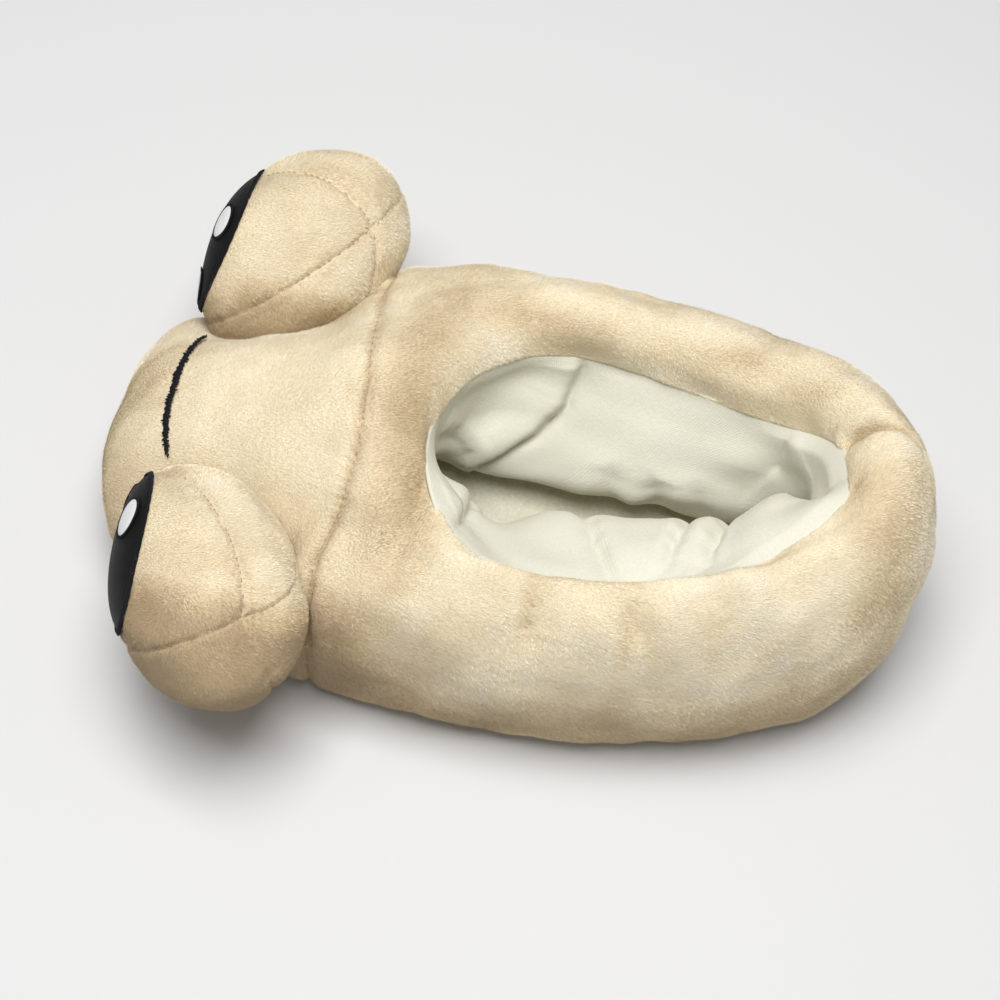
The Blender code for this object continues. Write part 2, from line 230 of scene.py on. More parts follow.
@dataclass
class SlipperForm:
    """The padded body: a loft that climbs its outside, rolls over the collar and runs down the inside."""

    length: float = 0.280
    ball_width: float = 0.158
    instep: float = 0.090
    side: float = 0.082
    heel: float = 0.098
    squareness: tuple[float, float, float] = (2.75, 2.2, 2.35)
    collar: tuple[float, float] = (0.033, 0.168)
    collar_width: float = 0.076
    collar_taper: float = 0.42
    collar_squareness: float = 2.0
    heel_corner: float = 1.5
    toe_pinch: float = 0.25
    foot: tuple[float, float] = (0.026, 0.256)
    foot_width: float = 0.086
    foot_taper: float = 0.04
    foot_squareness: float = 2.3
    pad_swell: float = 0.023
    sole: float = 0.005
    sole_inset: float = 0.0145
    insole: float = 0.004
    welt_gap: float = 0.0008
    welt_lift: float = 0.0014
    gap: float = 0.0003
    dip: float = 0.30
    dip_place: tuple[float, float] = (0.233 - 0.280 / 2, 0.052)
    dip_size: tuple[float, float] = (0.040, 0.029)
    seat: float = 0.93
    seat_firmness: int = 8
    slump_spread: float = 0.8
    border_drop: float = 1.15
    dent_end: float = 0.3
    eyes: tuple[EyeForm, ...] = (EyeForm(Side.LEFT), EyeForm(Side.RIGHT))

    def oval(
        self, angle: np.ndarray, ends: tuple[float, float], width: float, taper: float, power: np.ndarray
    ) -> np.ndarray:
        """Points of an oval in plan.

        Args:
            angle: the way round.
            ends: its back and front, measured from the heel's end.
            width: its whole width.
            taper: how much wider it is in front than in the middle.
            power: its squareness, 2 for an ellipse.

        Returns:
            An array of points with Z 0.
        """
        along = np.sign(np.cos(angle)) * np.abs(np.cos(angle)) ** (2 / power)
        across = np.sign(np.sin(angle)) * np.abs(np.sin(angle)) ** (2 / power)
        back, front = ends
        x = (front + back) / 2 - self.length / 2 + (front - back) / 2 * along
        return np.stack([x, width / 2 * across * (1 + taper * along), np.zeros_like(x)], -1)

    def body(self, angle: np.ndarray, inset: float = 0.0) -> np.ndarray:
        """The widest outline in plan, drawn in by inset."""
        ends, width = (inset, self.length - inset), self.ball_width - 2 * inset
        return self.oval(angle, ends, width, 0, eased(angle, self.squareness))

    def collar_oval(self, angle: np.ndarray) -> np.ndarray:
        """The edge between plush and lining in plan: pinched at the toe, square at the heel's far corner.

        Args:
            angle: the way round.

        Returns:
            An array of points with Z 0.
        """
        corner = np.clip(-np.cos(angle), 0, 1) * np.clip(-np.sin(angle), 0, 1) * 2
        pinched = np.clip(np.cos(angle), 0, 1)
        power = self.collar_squareness + self.heel_corner * corner - self.toe_pinch * pinched
        return self.oval(angle, self.collar, self.collar_width, self.collar_taper, power)

    def foot_oval(self, angle: np.ndarray) -> np.ndarray:
        """The inside at the insole in plan."""
        power = np.full_like(angle, self.foot_squareness)
        return self.oval(angle, self.foot, self.foot_width, self.foot_taper, power)

    def heights(self, angle: np.ndarray, ring: Ring) -> np.ndarray:
        """A ring's height above the floor round the shoe."""
        toe, side, heel = ring.height
        return eased(angle, (toe * self.instep, side * self.side, heel * self.heel))

    def slumped(self, angle: np.ndarray, ring: Ring) -> np.ndarray:
        """How the cloth of a ring lies from the solid's wall.

        Args:
            angle: the way round.
            ring: the ring.

        Returns:
            The move of each of the ring's points.
        """
        side = np.sin(angle)
        move = np.where(side[:, None] > 0, ring.near, (-ring.far[0], ring.far[1]))
        move = move * (np.abs(side) ** self.slump_spread)[:, None]
        return np.stack([np.zeros_like(side), move[:, 0], move[:, 1]], -1)

    def border(self, angle: np.ndarray) -> np.ndarray:
        """Where the plush ends and the lining begins, in rings: sooner on the wall that leans out."""
        return COLLAR_HEIGHT - self.border_drop * np.clip(np.sin(angle), 0, 1) ** self.slump_spread

    def controls(self, angle: np.ndarray) -> np.ndarray:
        """The loft's rings, from the welt over the collar to the insole.

        Args:
            angle: the way round the shoe.

        Returns:
            An array of rings by angles by 3.
        """
        body, collar, foot = self.body(angle), self.collar_oval(angle), self.foot_oval(angle)
        welt = self.body(angle, self.sole_inset - self.welt_gap)
        welt[:, 2] = self.welt_lift
        rings = [welt]
        for ring in OUTER_RINGS:
            way = eased(angle, ring.way)[:, None]
            points = body * (1 - way) + collar * way
            points[:, 2] = self.heights(angle, ring)
            rings.append(points + self.slumped(angle, ring))
        inwards = -np.stack([np.cos(angle), np.sin(angle), np.zeros_like(angle)], -1)
        for ring in INNER_RINGS:
            way = eased(angle, ring.way)[:, None]
            bulge = inwards * (self.pad_swell * ring.swell * np.sin(angle) ** 2)[:, None]
            ahead = np.clip(np.cos(angle), 0, 1)
            held = ring.hang * ahead * (2 - ahead)
            points = collar * (1 - way) + foot * way + bulge
            points[:, 0] -= (foot - collar)[:, 0] * way[:, 0] * held
            points[:, 2] = self.heights(angle, ring)
            rings.append(points + self.slumped(angle, ring))
        foot[:, 2] = self.sole + self.insole
        return np.array(rings + [foot])

    def surface(self, angle: np.ndarray, heights: np.ndarray) -> np.ndarray:
        """Points of the loft, as a smooth run through its rings.

        Args:
            angle: the way round the shoe.
            heights: places along the run at each angle, counted in rings from the welt.

        Returns:
            An array of heights by angles by 3.
        """
        rings = self.controls(angle)
        held = np.concatenate([rings[:1] * 2 - rings[1:2], rings, rings[-1:] * 2 - rings[-2:-1]])
        heights = heights if heights.ndim > 1 else heights[:, None] * np.ones_like(angle)
        start = np.clip(np.floor(heights).astype(int), 0, len(rings) - 2)
        share = (heights - start)[..., None]
        a, b, c, d = (held[start + i, np.arange(len(angle))] for i in range(4))
        slope, bend, turn = c - a, a * 2 - b * 5 + c * 4 - d, b * 3 - a - c * 3 + d
        points = (b * 2 + slope * share + bend * share**2 + turn * share**3) / 2
        outside = heights < COLLAR_HEIGHT - self.dent_end
        points[outside] = self.dented(points[outside])
        return points

    def dented(self, points: np.ndarray) -> np.ndarray:
        """Lowers the muzzle under the balls and keeps the padding out of them.

        Args:
            points: places on the outside.

        Returns:
            The places after the move.
        """
        points = points.copy()
        along = (points[..., 0] - self.dip_place[0]) / self.dip_size[0]
        share = np.zeros_like(along)
        for sign in (1, -1):
            across = (points[..., 1] - sign * self.dip_place[1]) / self.dip_size[1]
            share += self.dip * np.exp(-(along**2) - across**2)
        points[..., 2] *= 1 - share
        power = self.seat_firmness
        for eye in self.eyes:
            local, depth = eye.local(points)
            held = (depth**power + self.seat**power) ** (1 / power)
            points = eye.placed(local * (held / np.maximum(depth, TINY))[..., None])
        return points


# Creases, puffs and waves

# Painted shade along creases: how much deeper the pile's tone turns, and over how many crease widths.
CREASE_PAINTED_SHADE = 0.4
CREASE_PAINTED_SHADE_WIDTH = 1.6


@dataclass(frozen=True)
class Crease:
    """A soft trough along a short path, with a fuller lip on each side, in millimetres.

    A negative depth is a ridge. The lip is a share of the depth, and the ends are the shares of it that are
    left at the path's ends. A step lifts the cloth on the left of the path, as where one fold laps over the
    next; a negative one, the right.
    """

    path: tuple[tuple[float, float, float], ...]
    width: float
    depth: float
    lip: float = 0.3
    ends: tuple[float, float] = (0.2, 0.2)
    step: float = 0.0

    reach: ClassVar[float] = 18.0
    end_share: ClassVar[float] = 0.35
    roundness: ClassVar[float] = 0.35
    lip_place: ClassVar[float] = 2.4
    step_firmness: ClassVar[float] = 0.4
    step_reach: ClassVar[float] = 8.0

    def move(self, points: np.ndarray, normals: np.ndarray) -> np.ndarray:
        """How far each point moves outwards for the crease.

        Args:
            points: places on the surface, in millimetres.
            normals: the surface's normals there.

        Returns:
            The move of each point along its normal, in millimetres.
        """
        move = np.zeros(points.shape[:-1])
        path = snapped(self.path, points)
        reach = self.reach * self.width
        near = np.all((points > path.min(0) - reach) & (points < path.max(0) + reach), axis=-1)
        gap, progress, side = path_distance(points[near], path)
        apart = gap / self.width
        first, last = self.ends
        rise, fall = progress / self.end_share, (1 - progress) / self.end_share
        held = np.minimum(first + (1 - first) * rise, last + (1 - last) * fall)
        valley = np.exp(self.roundness - np.sqrt(apart**2 + self.roundness**2))
        valley -= self.lip * bell(apart - self.lip_place, 1.0)
        left = np.tanh(np.sum(side * normals[near], axis=-1) / (self.step_firmness * self.width))
        lift = abs(self.step) * (0.5 + 0.5 * left * np.sign(self.step)) * bell(apart, self.step_reach)
        move[near] = np.clip(held, 0, 1) * (lift - self.depth * valley)
        return move


@dataclass(frozen=True)
class Puff:
    """A soft round swelling, in millimetres, or a patch of tint, with how strong it is as its height."""

    centre: tuple[float, float, float]
    radius: tuple[float, float, float]
    height: float

    def over(self, points: np.ndarray) -> np.ndarray:
        """Its height at each point, with the points in millimetres."""
        return self.height * bell(np.linalg.norm((points - self.centre) / self.radius, axis=-1), 1.0)


@dataclass(frozen=True)
class Wave:
    """A smooth uneven wave over a surface, the same on every run, in metres."""

    height: float
    size: float
    seed: int

    ways: ClassVar[int] = 7
    spread: ClassVar[tuple[float, float]] = (0.7, 1.5)

    def over(self, points: np.ndarray, shift: int = 0) -> np.ndarray:
        """The wave at each point, between about plus and minus its height.

        Args:
            points: places on the surface.
            shift: a change of the seed, for a wave of the same kind.

        Returns:
            The wave's value at each point.
        """
        rng = np.random.default_rng(self.seed + shift)
        total = np.zeros(points.shape[:-1])
        for _ in range(self.ways):
            way = rng.normal(size=3)
            way /= np.linalg.norm(way)
            pitch = 2 * math.pi / (self.size * rng.uniform(*self.spread))
            total += np.sin(points @ way * pitch + rng.uniform(0, 2 * math.pi))
        return self.height * (total / (self.ways / 2))


def path_distance(points: np.ndarray, path: np.ndarray) -> tuple[np.ndarray, np.ndarray, np.ndarray]:
    """How each point lies to a run of straight stretches.

    Args:
        points: places on the surface.
        path: the run's corner points.

    Returns:
        The distance from the run, how far along it the nearest place is, from 0 to 1, and the side that the
        point is on, as the cross product of the run's direction there with the way to the point.
    """
    lengths = np.linalg.norm(np.diff(path, axis=0), axis=1)
    best, progress = np.full(points.shape[:-1], np.inf), np.zeros(points.shape[:-1])
    side = np.zeros(points.shape)
    for i, (start, end) in enumerate(zip(path, path[1:])):
        if lengths[i] < TINY:
            continue
        share = np.clip((points - start) @ (end - start) / lengths[i] ** 2, 0, 1)
        gap = np.linalg.norm(points - (start + share[..., None] * (end - start)), axis=-1)
        closer = gap < best
        progress = np.where(closer, (lengths[:i].sum() + share * lengths[i]) / lengths.sum(), progress)
        side = np.where(closer[..., None], np.cross(end - start, points - start) / lengths[i], side)
        best = np.minimum(best, gap)
    return best, progress, side


def even_steps(path: np.ndarray, step: float) -> tuple[np.ndarray, np.ndarray]:
    """Places at even steps along a path.

    Args:
        path: its corner points.
        step: the distance from place to place.

    Returns:
        The places, and the path's direction at each.
    """
    far = np.concatenate([[0], np.cumsum(np.linalg.norm(np.diff(path, axis=0), axis=1))])
    at = np.arange(step / 2, far[-1], step)
    places = np.stack([np.interp(at, far, path[:, i]) for i in range(3)], -1)
    return places, unit(np.gradient(places, axis=0))


def snapped(path: Sequence[Sequence[float]], points: np.ndarray, step: float = 2.5) -> np.ndarray:
    """Lays a path on a surface: splits it into short stretches and snaps each corner to the nearest point.

    Args:
        path: the path's corners, in millimetres.
        points: places on the surface, in millimetres.
        step: the length of a stretch, in millimetres.

    Returns:
        The corners on the surface.
    """
    spots = np.concatenate([[path[0]], even_steps(np.array(path, float), step)[0], [path[-1]]])
    return points.reshape(-1, 3)[nearest(points, spots)]


def relief(
    points: np.ndarray, normals: np.ndarray, creases: Iterable[Crease], puffs: Iterable[Puff] = ()
) -> np.ndarray:
    """How far each point moves outwards for the creases and puffs near it.

    Args:
        points: places on the surface, in metres.
        normals: the surface's normals there.
        creases: the troughs and ridges.
        puffs: the swellings.

    Returns:
        The move of each point along its normal, in metres.
    """
    fine = points / MM
    move = np.zeros(points.shape[:-1])
    for crease in creases:
        move += crease.move(fine, normals)
    for puff in puffs:
        move += puff.over(fine)
    return move * MM


def warmth(points: np.ndarray, spots: Iterable[Puff], creases: Iterable[Crease]) -> np.ndarray:
    """How far the pile of each point lies over to its deeper tone: in spots of stroked-back pile and of painted
    shade, and as painted shade along creases.

    Args:
        points: places on the surface, in metres.
        spots: where the pile is stroked back and where shade is painted, and how far.
        creases: the creases that it leans into, along which shade is painted.

    Returns:
        The warmth of each point.
    """
    fine = points / MM
    warm = np.zeros(points.shape[:-1])
    for spot in spots:
        warm += spot.over(fine)
    for crease in creases:
        gap = path_distance(fine, np.array(crease.path, float))[0]
        warm += CREASE_PAINTED_SHADE * bell(gap, CREASE_PAINTED_SHADE_WIDTH * crease.width)
    return warm


# Meshes


def grid_normals(grid: np.ndarray, closed: bool) -> np.ndarray:
    """Normals of a grid of points that closes round its second direction.

    Args:
        grid: rings by places by 3.
        closed: whether the rings close into a loop too.

    Returns:
        Unit normals, the same shape as grid.
    """
    if closed:
        along = np.roll(grid, -1, 0) - np.roll(grid, 1, 0)
    else:
        along = np.gradient(grid, axis=0)
    return unit(np.cross(np.roll(grid, -1, 1) - np.roll(grid, 1, 1), along))


def grid_faces(rings: int, around: int, closed: bool) -> np.ndarray:
    """Quads of a grid that closes round its second direction, wound to match grid_normals.

    Args:
        rings: how many rings the grid has.
        around: how many places a ring has.
        closed: whether the rings close into a loop too.

    Returns:
        The four point numbers of each quad.
    """
    count = rings if closed else rings - 1
    i, j = np.meshgrid(np.arange(count), np.arange(around), indexing="ij")
    k, row, above = (j + 1) % around, i * around, (i + 1) % rings * around
    return np.stack([row + j, row + k, above + k, above + j], -1).reshape(-1, 4)


def make_object(name: str, points: np.ndarray, faces: Iterable[Sequence[int]]) -> bpy.types.Object:
    """A mesh object at the origin, smoothly shaded.

    Args:
        name: its name.
        points: its points.
        faces: the point numbers of each face.

    Returns:
        The object.
    """
    mesh = bpy.data.meshes.new(name)
    mesh.from_pydata(points.reshape(-1, 3).tolist(), [], [list(map(int, face)) for face in faces])
    mesh.shade_smooth()
    obj = bpy.data.objects.new(name, mesh)
    bpy.context.scene.collection.objects.link(obj)
    return obj


def turn_outwards(obj: bpy.types.Object) -> None:
    """Turns the faces of a closed mesh outwards.

    Args:
        obj: the object with that mesh.
    """
    shape = bmesh.new()
    shape.from_mesh(obj.data)
    bmesh.ops.recalc_face_normals(shape, faces=shape.faces)
    shape.to_mesh(obj.data)
    shape.free()


def set_attribute(mesh: bpy.types.Mesh, name: str, values: np.ndarray) -> None:
    """Stores a number or a vector on each point of a mesh.

    Args:
        mesh: the mesh.
        name: the attribute's name.
        values: a number for each point, or a row of three.
    """
    vector = values.ndim > 1 and values.shape[-1] == 3
    kind = "FLOAT_VECTOR" if vector else "FLOAT"
    attribute = mesh.attributes.get(name) or mesh.attributes.new(name, kind, "POINT")
    attribute.data.foreach_set("vector" if vector else "value", values.astype(np.float32).ravel())


def corner_points(mesh: bpy.types.Mesh) -> np.ndarray:
    """Which point each corner of a mesh's faces is.

    Args:
        mesh: the mesh.

    Returns:
        The point numbers, face by face.
    """
    index = np.zeros(len(mesh.loops), int)
    mesh.loops.foreach_get("vertex_index", index)
    return index


def place(obj: bpy.types.Object, slot: str, *nodes: str) -> bpy.types.Object:
    """Attaches a finished piece to its body and hides the solids that it stands for.

    Args:
        obj: the piece.
        slot: not used.
        nodes: the solids that it replaces.

    Returns:
        The piece.
    """
    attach(obj, BODY)
    if nodes:
        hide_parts(*nodes)
    LOG.info("%s: %d faces", obj.name, len(obj.data.polygons))
    return obj


# Node trees

RIB_SHARE = 0.22
LOOP_SHARE = 0.12
FUZZ_SHARE = 0.7


class Tree:
    """A node tree that is written as calls: each adds a node, sets its inputs and joins sockets to it."""

    def __init__(self, tree: bpy.types.NodeTree) -> None:
        """Starts on an empty or a fresh tree."""
        self.tree = tree

    def add(self, kind: str, inputs: dict | None = None, **settings: object) -> bpy.types.Node:
        """Adds a node.

        Args:
            kind: the node's type name.
            inputs: values or sockets for its inputs, by name or number.
            settings: the node's own properties.

        Returns:
            The new node.
        """
        node = self.tree.nodes.new(kind)
        for name, value in settings.items():
            setattr(node, name, value)
        for key, value in (inputs or {}).items():
            self.feed(node.inputs[key], value)
        return node

    def feed(self, socket: bpy.types.NodeSocket, value: object) -> None:
        """Joins an input to a socket, or sets it to a plain value.

        Args:
            socket: the input.
            value: the socket or the value.
        """
        if isinstance(value, bpy.types.NodeSocket):
            self.tree.links.new(value, socket)
        else:
            socket.default_value = value

    def math(self, operation: str, *values: object) -> bpy.types.NodeSocket:
        """The result of one sum on numbers or sockets."""
        return self.add("ShaderNodeMath", dict(enumerate(values)), operation=operation).outputs[0]

    def noise(
        self, scale: object, detail: float, inputs: dict | None = None, **settings: object
    ) -> bpy.types.NodeSocket:
        """The grey value of a noise pattern.

        Args:
            scale: how fine it is.
            detail: how many finer layers it has.
            inputs: values or sockets for its other inputs.
            settings: the node's own properties.

        Returns:
            The socket of the value.
        """
        given = {"Scale": scale, "Detail": detail, **(inputs or {})}
        return self.add("ShaderNodeTexNoise", given, **settings).outputs["Fac"]

    def ramp(self, value: bpy.types.NodeSocket, low: float, high: float) -> bpy.types.NodeSocket:
        """A number turned to 0 at low and 1 at high, smoothly."""
        given = {"Value": value, "From Min": low, "From Max": high}
        return self.add("ShaderNodeMapRange", given, interpolation_type="SMOOTHSTEP").outputs[0]

    def blend(self, share: bpy.types.NodeSocket, first: Colour, second: Colour) -> bpy.types.NodeSocket:
        """A colour between two colours."""
        given = {0: share, 6: (*first, 1), 7: (*second, 1)}
        return self.add("ShaderNodeMix", given, data_type="RGBA").outputs[2]

    def stored(self, label: str, kind: str = "FLOAT") -> bpy.types.NodeSocket:
        """A number or a vector that is stored on the points."""
        return self.add("GeometryNodeInputNamedAttribute", {"Name": label}, data_type=kind).outputs[0]

    def random(self, low: float, high: float, seed: int) -> bpy.types.NodeSocket:
        """A random number for each point."""
        given = {2: low, 3: high, "Seed": seed}
        return self.add("FunctionNodeRandomValue", given, data_type="FLOAT").outputs[1]


def shader_group(
    name: str, inputs: dict[str, float], outputs: Iterable[str]
) -> tuple[Tree, bpy.types.Node, bpy.types.Node]:
    """Starts a shader node group.

    Args:
        name: the group's name.
        inputs: its number inputs and their defaults; Vector is added first.
        outputs: its number outputs.

    Returns:
        The tree to write in, its input node and its output node.
    """
    group = bpy.data.node_groups.new(name, "ShaderNodeTree")
    group.interface.new_socket("Vector", in_out="INPUT", socket_type="NodeSocketVector")
    for label, value in inputs.items():
        group.interface.new_socket(label, in_out="INPUT", socket_type="NodeSocketFloat").default_value = value
    for label in outputs:
        group.interface.new_socket(label, in_out="OUTPUT", socket_type="NodeSocketFloat")
    tree = Tree(group)
    return tree, tree.add("NodeGroupInput"), tree.add("NodeGroupOutput")


def nap_group() -> bpy.types.NodeTree:
    """Brushed pile seen as a surface: fine streaks, and broad patches where the pile lies another way.

    Returns:
        The shader group.
    """
    tree, given, out = shader_group("brushed_nap", {"Streak": 1500.0, "Patch": 45.0}, ("Height", "Patch"))
    spot, streak, patch = (given.outputs[label] for label in ("Vector", "Streak", "Patch"))
    turned = {"Vector": spot, "Rotation": (0.3, 0.5, 0.4), "Scale": (0.35, 1, 1)}
    stretched = tree.add("ShaderNodeMapping", turned)
    streaks = tree.noise(streak, 3.0, {"Vector": stretched.outputs[0], "Roughness": 0.6})
    patches = tree.noise(patch, 4.0, {"Vector": spot, "Distortion": 0.6})
    tree.feed(out.inputs["Height"], streaks)
    tree.feed(out.inputs["Patch"], tree.ramp(patches, 0.36, 0.64))
    return tree.tree


def knit_group() -> bpy.types.NodeTree:
    """Fine brushed knit: faint ribs one way, loops the other, and fuzz over both.

    Returns:
        The shader group.
    """
    tree, given, out = shader_group("brushed_knit", {"Rib": 9000.0, "Fuzz": 900.0}, ("Height", "Fuzz"))
    split = tree.add("ShaderNodeSeparateXYZ", {0: given.outputs["Vector"]})
    turns = [tree.math("MULTIPLY", split.outputs[i], given.outputs["Rib"]) for i in (0, 1)]
    rib, loop = (tree.math("SINE", turn) for turn in turns)
    fuzz = tree.noise(given.outputs["Fuzz"], 4.0, {"Vector": given.outputs["Vector"]})
    knit = tree.math("MULTIPLY_ADD", rib, RIB_SHARE, tree.math("MULTIPLY", loop, LOOP_SHARE))
    tree.feed(out.inputs["Height"], tree.math("MULTIPLY_ADD", fuzz, FUZZ_SHARE, knit))
    tree.feed(out.inputs["Fuzz"], fuzz)
    return tree.tree


# Finishes


@dataclass(frozen=True)
class Finish:
    """A plain fabric finish: one colour, the same all over."""

    name: str
    colour: Colour
    roughness: float = 0.9
    sheen: float = 0.0
    sheen_tint: Colour = (1.0, 0.95, 0.85)
    sheen_roughness: float = 0.45
    specular: float = 0.25

    def shader(self) -> tuple[bpy.types.Material, Tree, bpy.types.Node]:
        """A new material with its constant values set.

        Returns:
            The material, its tree and its surface shader.
        """
        made = bpy.data.materials.new(self.name)
        made.use_nodes = True
        surface = made.node_tree.nodes["Principled BSDF"]
        surface.inputs["Base Color"].default_value = (*self.colour, 1)
        surface.inputs["Roughness"].default_value = self.roughness
        surface.inputs["Specular IOR Level"].default_value = self.specular
        surface.inputs["Sheen Weight"].default_value = self.sheen
        surface.inputs["Sheen Roughness"].default_value = self.sheen_roughness
        surface.inputs["Sheen Tint"].default_value = (*self.sheen_tint, 1)
        return made, Tree(made.node_tree), surface

    def material(self) -> bpy.types.Material:
        """The finished material."""
        return self.shader()[0]


@dataclass(frozen=True)
class PileFinish(Finish):
    """One tint of the pile, worn by the blades whose tint number is above a step, up to the next one's."""

    above: float | None = None


@dataclass(frozen=True)
class ReliefFinish(Finish):
    """A finish with a fine relief."""

    depth: float = 0.0002
    strength: float = 0.8

    def bend(self, tree: Tree, surface: bpy.types.Node, height: bpy.types.NodeSocket) -> None:
        """Bends the surface's normals by a height pattern.

        Args:
            tree: the material's tree.
            surface: its surface shader.
            height: the pattern.
        """
        given = {"Height": height, "Distance": self.depth, "Strength": self.strength}
        tree.feed(surface.inputs["Normal"], tree.add("ShaderNodeBump", given).outputs[0])


@dataclass(frozen=True)
class NapFinish(ReliefFinish):
    """Plush as a surface: the ground under the pile, deeper in tone where the pile is stroked back and where shade
    is painted.
    """

    depth: float = 0.0007
    shade: Colour = (0.5, 0.36, 0.2)
    patch_share: float = -0.35
    stroke_share: tuple[float, float] = (0.34, 0.32)
    share_range: tuple[float, float] = (-0.1, 1.2)

    def material(self) -> bpy.types.Material:
        """The finished material.

        Returns:
            The material.
        """
        made, tree, surface = self.shader()
        spot = tree.add("ShaderNodeTexCoord").outputs["Object"]
        nap = tree.add("ShaderNodeGroup", node_tree=SHARED["nap"])
        tree.feed(nap.inputs["Vector"], spot)
        # The stored value is partly stroked-back pile and partly painted shade; the ground turns to its shade
        # colour by it.
        stroked = tree.add("ShaderNodeAttribute", attribute_name="warm").outputs["Fac"]
        deep = tree.math("MULTIPLY_ADD", stroked, *self.stroke_share)
        deep = tree.math("MULTIPLY_ADD", nap.outputs["Patch"], self.patch_share, deep)
        share = tree.ramp(deep, *self.share_range)
        tree.feed(surface.inputs["Base Color"], tree.blend(share, self.colour, self.shade))
        self.bend(tree, surface, nap.outputs["Height"])
        return made


@dataclass(frozen=True)
class KnitFinish(ReliefFinish):
    """Brushed knit or felt, on the piece's own map where it has one."""

    strength: float = 0.7
    shade: Colour = (0.6, 0.6, 0.42)
    rib: float = 9000.0
    fuzz: float = 900.0
    own_map: str = ""
    share_range: tuple[float, float] = (0.35, 0.75)

    def material(self) -> bpy.types.Material:
        """The finished material.

        Returns:
            The material.
        """
        made, tree, surface = self.shader()
        if self.own_map:
            spot = tree.add("ShaderNodeUVMap", uv_map=self.own_map).outputs[0]
        else:
            spot = tree.add("ShaderNodeTexCoord").outputs["Object"]
        given = {"Vector": spot, "Rib": self.rib, "Fuzz": self.fuzz}
        knit = tree.add("ShaderNodeGroup", node_tree=SHARED["knit"])
        for label, value in given.items():
            tree.feed(knit.inputs[label], value)
        share = tree.ramp(knit.outputs["Fuzz"], *self.share_range)
        tree.feed(surface.inputs["Base Color"], tree.blend(share, self.shade, self.colour))
        self.bend(tree, surface, knit.outputs["Height"])
        return made


@dataclass(frozen=True)
class ThreadFinish(ReliefFinish):
    """Satin stitch: threads laid side by side, along V of the piece's own map."""

    depth: float = 0.00015
    thread: float = 0.00045

    def material(self) -> bpy.types.Material:
        """The finished material.

        Returns:
            The material.
        """
        made, tree, surface = self.shader()
        spot = tree.add("ShaderNodeUVMap", uv_map=THREAD_MAP).outputs[0]
        across = tree.add("ShaderNodeSeparateXYZ", {0: spot}).outputs[0]
        wave = tree.math("SINE", tree.math("MULTIPLY", across, 2 * math.pi / self.thread))
        self.bend(tree, surface, wave)
        return made


SHARED: dict[str, bpy.types.NodeTree | bpy.types.Material] = {}
PLUSH = NapFinish("plush_ground", (0.80, 0.70, 0.505), 0.95, 0.1, shade=(0.48, 0.36, 0.22))
# Tints of the pile, darkest first. pile_shaded is painted shade; pile_tan is partly painted shade and partly
# stroked-back pile; the lighter ones follow patches, clumps and chance.
PILE_TINTS = (
    PileFinish("pile_shaded", (0.42, 0.315, 0.19), 0.85, 0.1),
    PileFinish("pile_tan", (0.58, 0.44, 0.25), 0.85, 0.1, above=-1.5),
    PileFinish("pile_deep", (0.70, 0.575, 0.375), 0.85, 0.1, above=-0.5),
    PileFinish("pile_middle", (0.81, 0.70, 0.49), 0.85, 0.1, above=0.3),
    PileFinish("pile_light", (0.87, 0.79, 0.61), 0.85, 0.1, above=1.1),
    PileFinish("pile_bright", (0.90, 0.86, 0.73), 0.85, 0.1, above=1.9),
)
LINING = KnitFinish(
    "lining_knit", (0.70, 0.69, 0.59), 0.95, 0.1, shade=(0.66, 0.645, 0.535), own_map=CLOTH_MAP
)
INSOLE = KnitFinish("insole_felt", (0.64, 0.62, 0.50), 0.98, 0.1, shade=(0.56, 0.54, 0.42), rib=2500.0)
SOLE = KnitFinish("sole_cloth", (0.62, 0.50, 0.36), 0.9, shade=(0.48, 0.38, 0.26), rib=4200.0, fuzz=500.0)
BLACK_FILL = ThreadFinish("black_satin_fill", (0.004, 0.004, 0.005), 0.6)
WHITE_FILL = ThreadFinish("white_satin_fill", (0.90, 0.91, 0.92), 0.5, 0.2)
BLACK_STITCH = Finish("black_stitch", (0.004, 0.004, 0.005), 0.6)
SEAM_STITCH = Finish("seam_stitch", (0.40, 0.30, 0.18), 0.8)
FLOOR_PAINT = Finish("floor_white", (0.66, 0.66, 0.66), 0.9)


def make_finishes() -> None:
    """Builds the shared groups and every material once."""
    SHARED["nap"] = nap_group()
    SHARED["knit"] = knit_group()
    fabrics = (PLUSH, *PILE_TINTS, LINING, INSOLE, SOLE, BLACK_FILL, WHITE_FILL, BLACK_STITCH, SEAM_STITCH)
    for finish in (*fabrics, FLOOR_PAINT):
        SHARED[finish.name] = finish.material()


# What repeats: pile and stitches


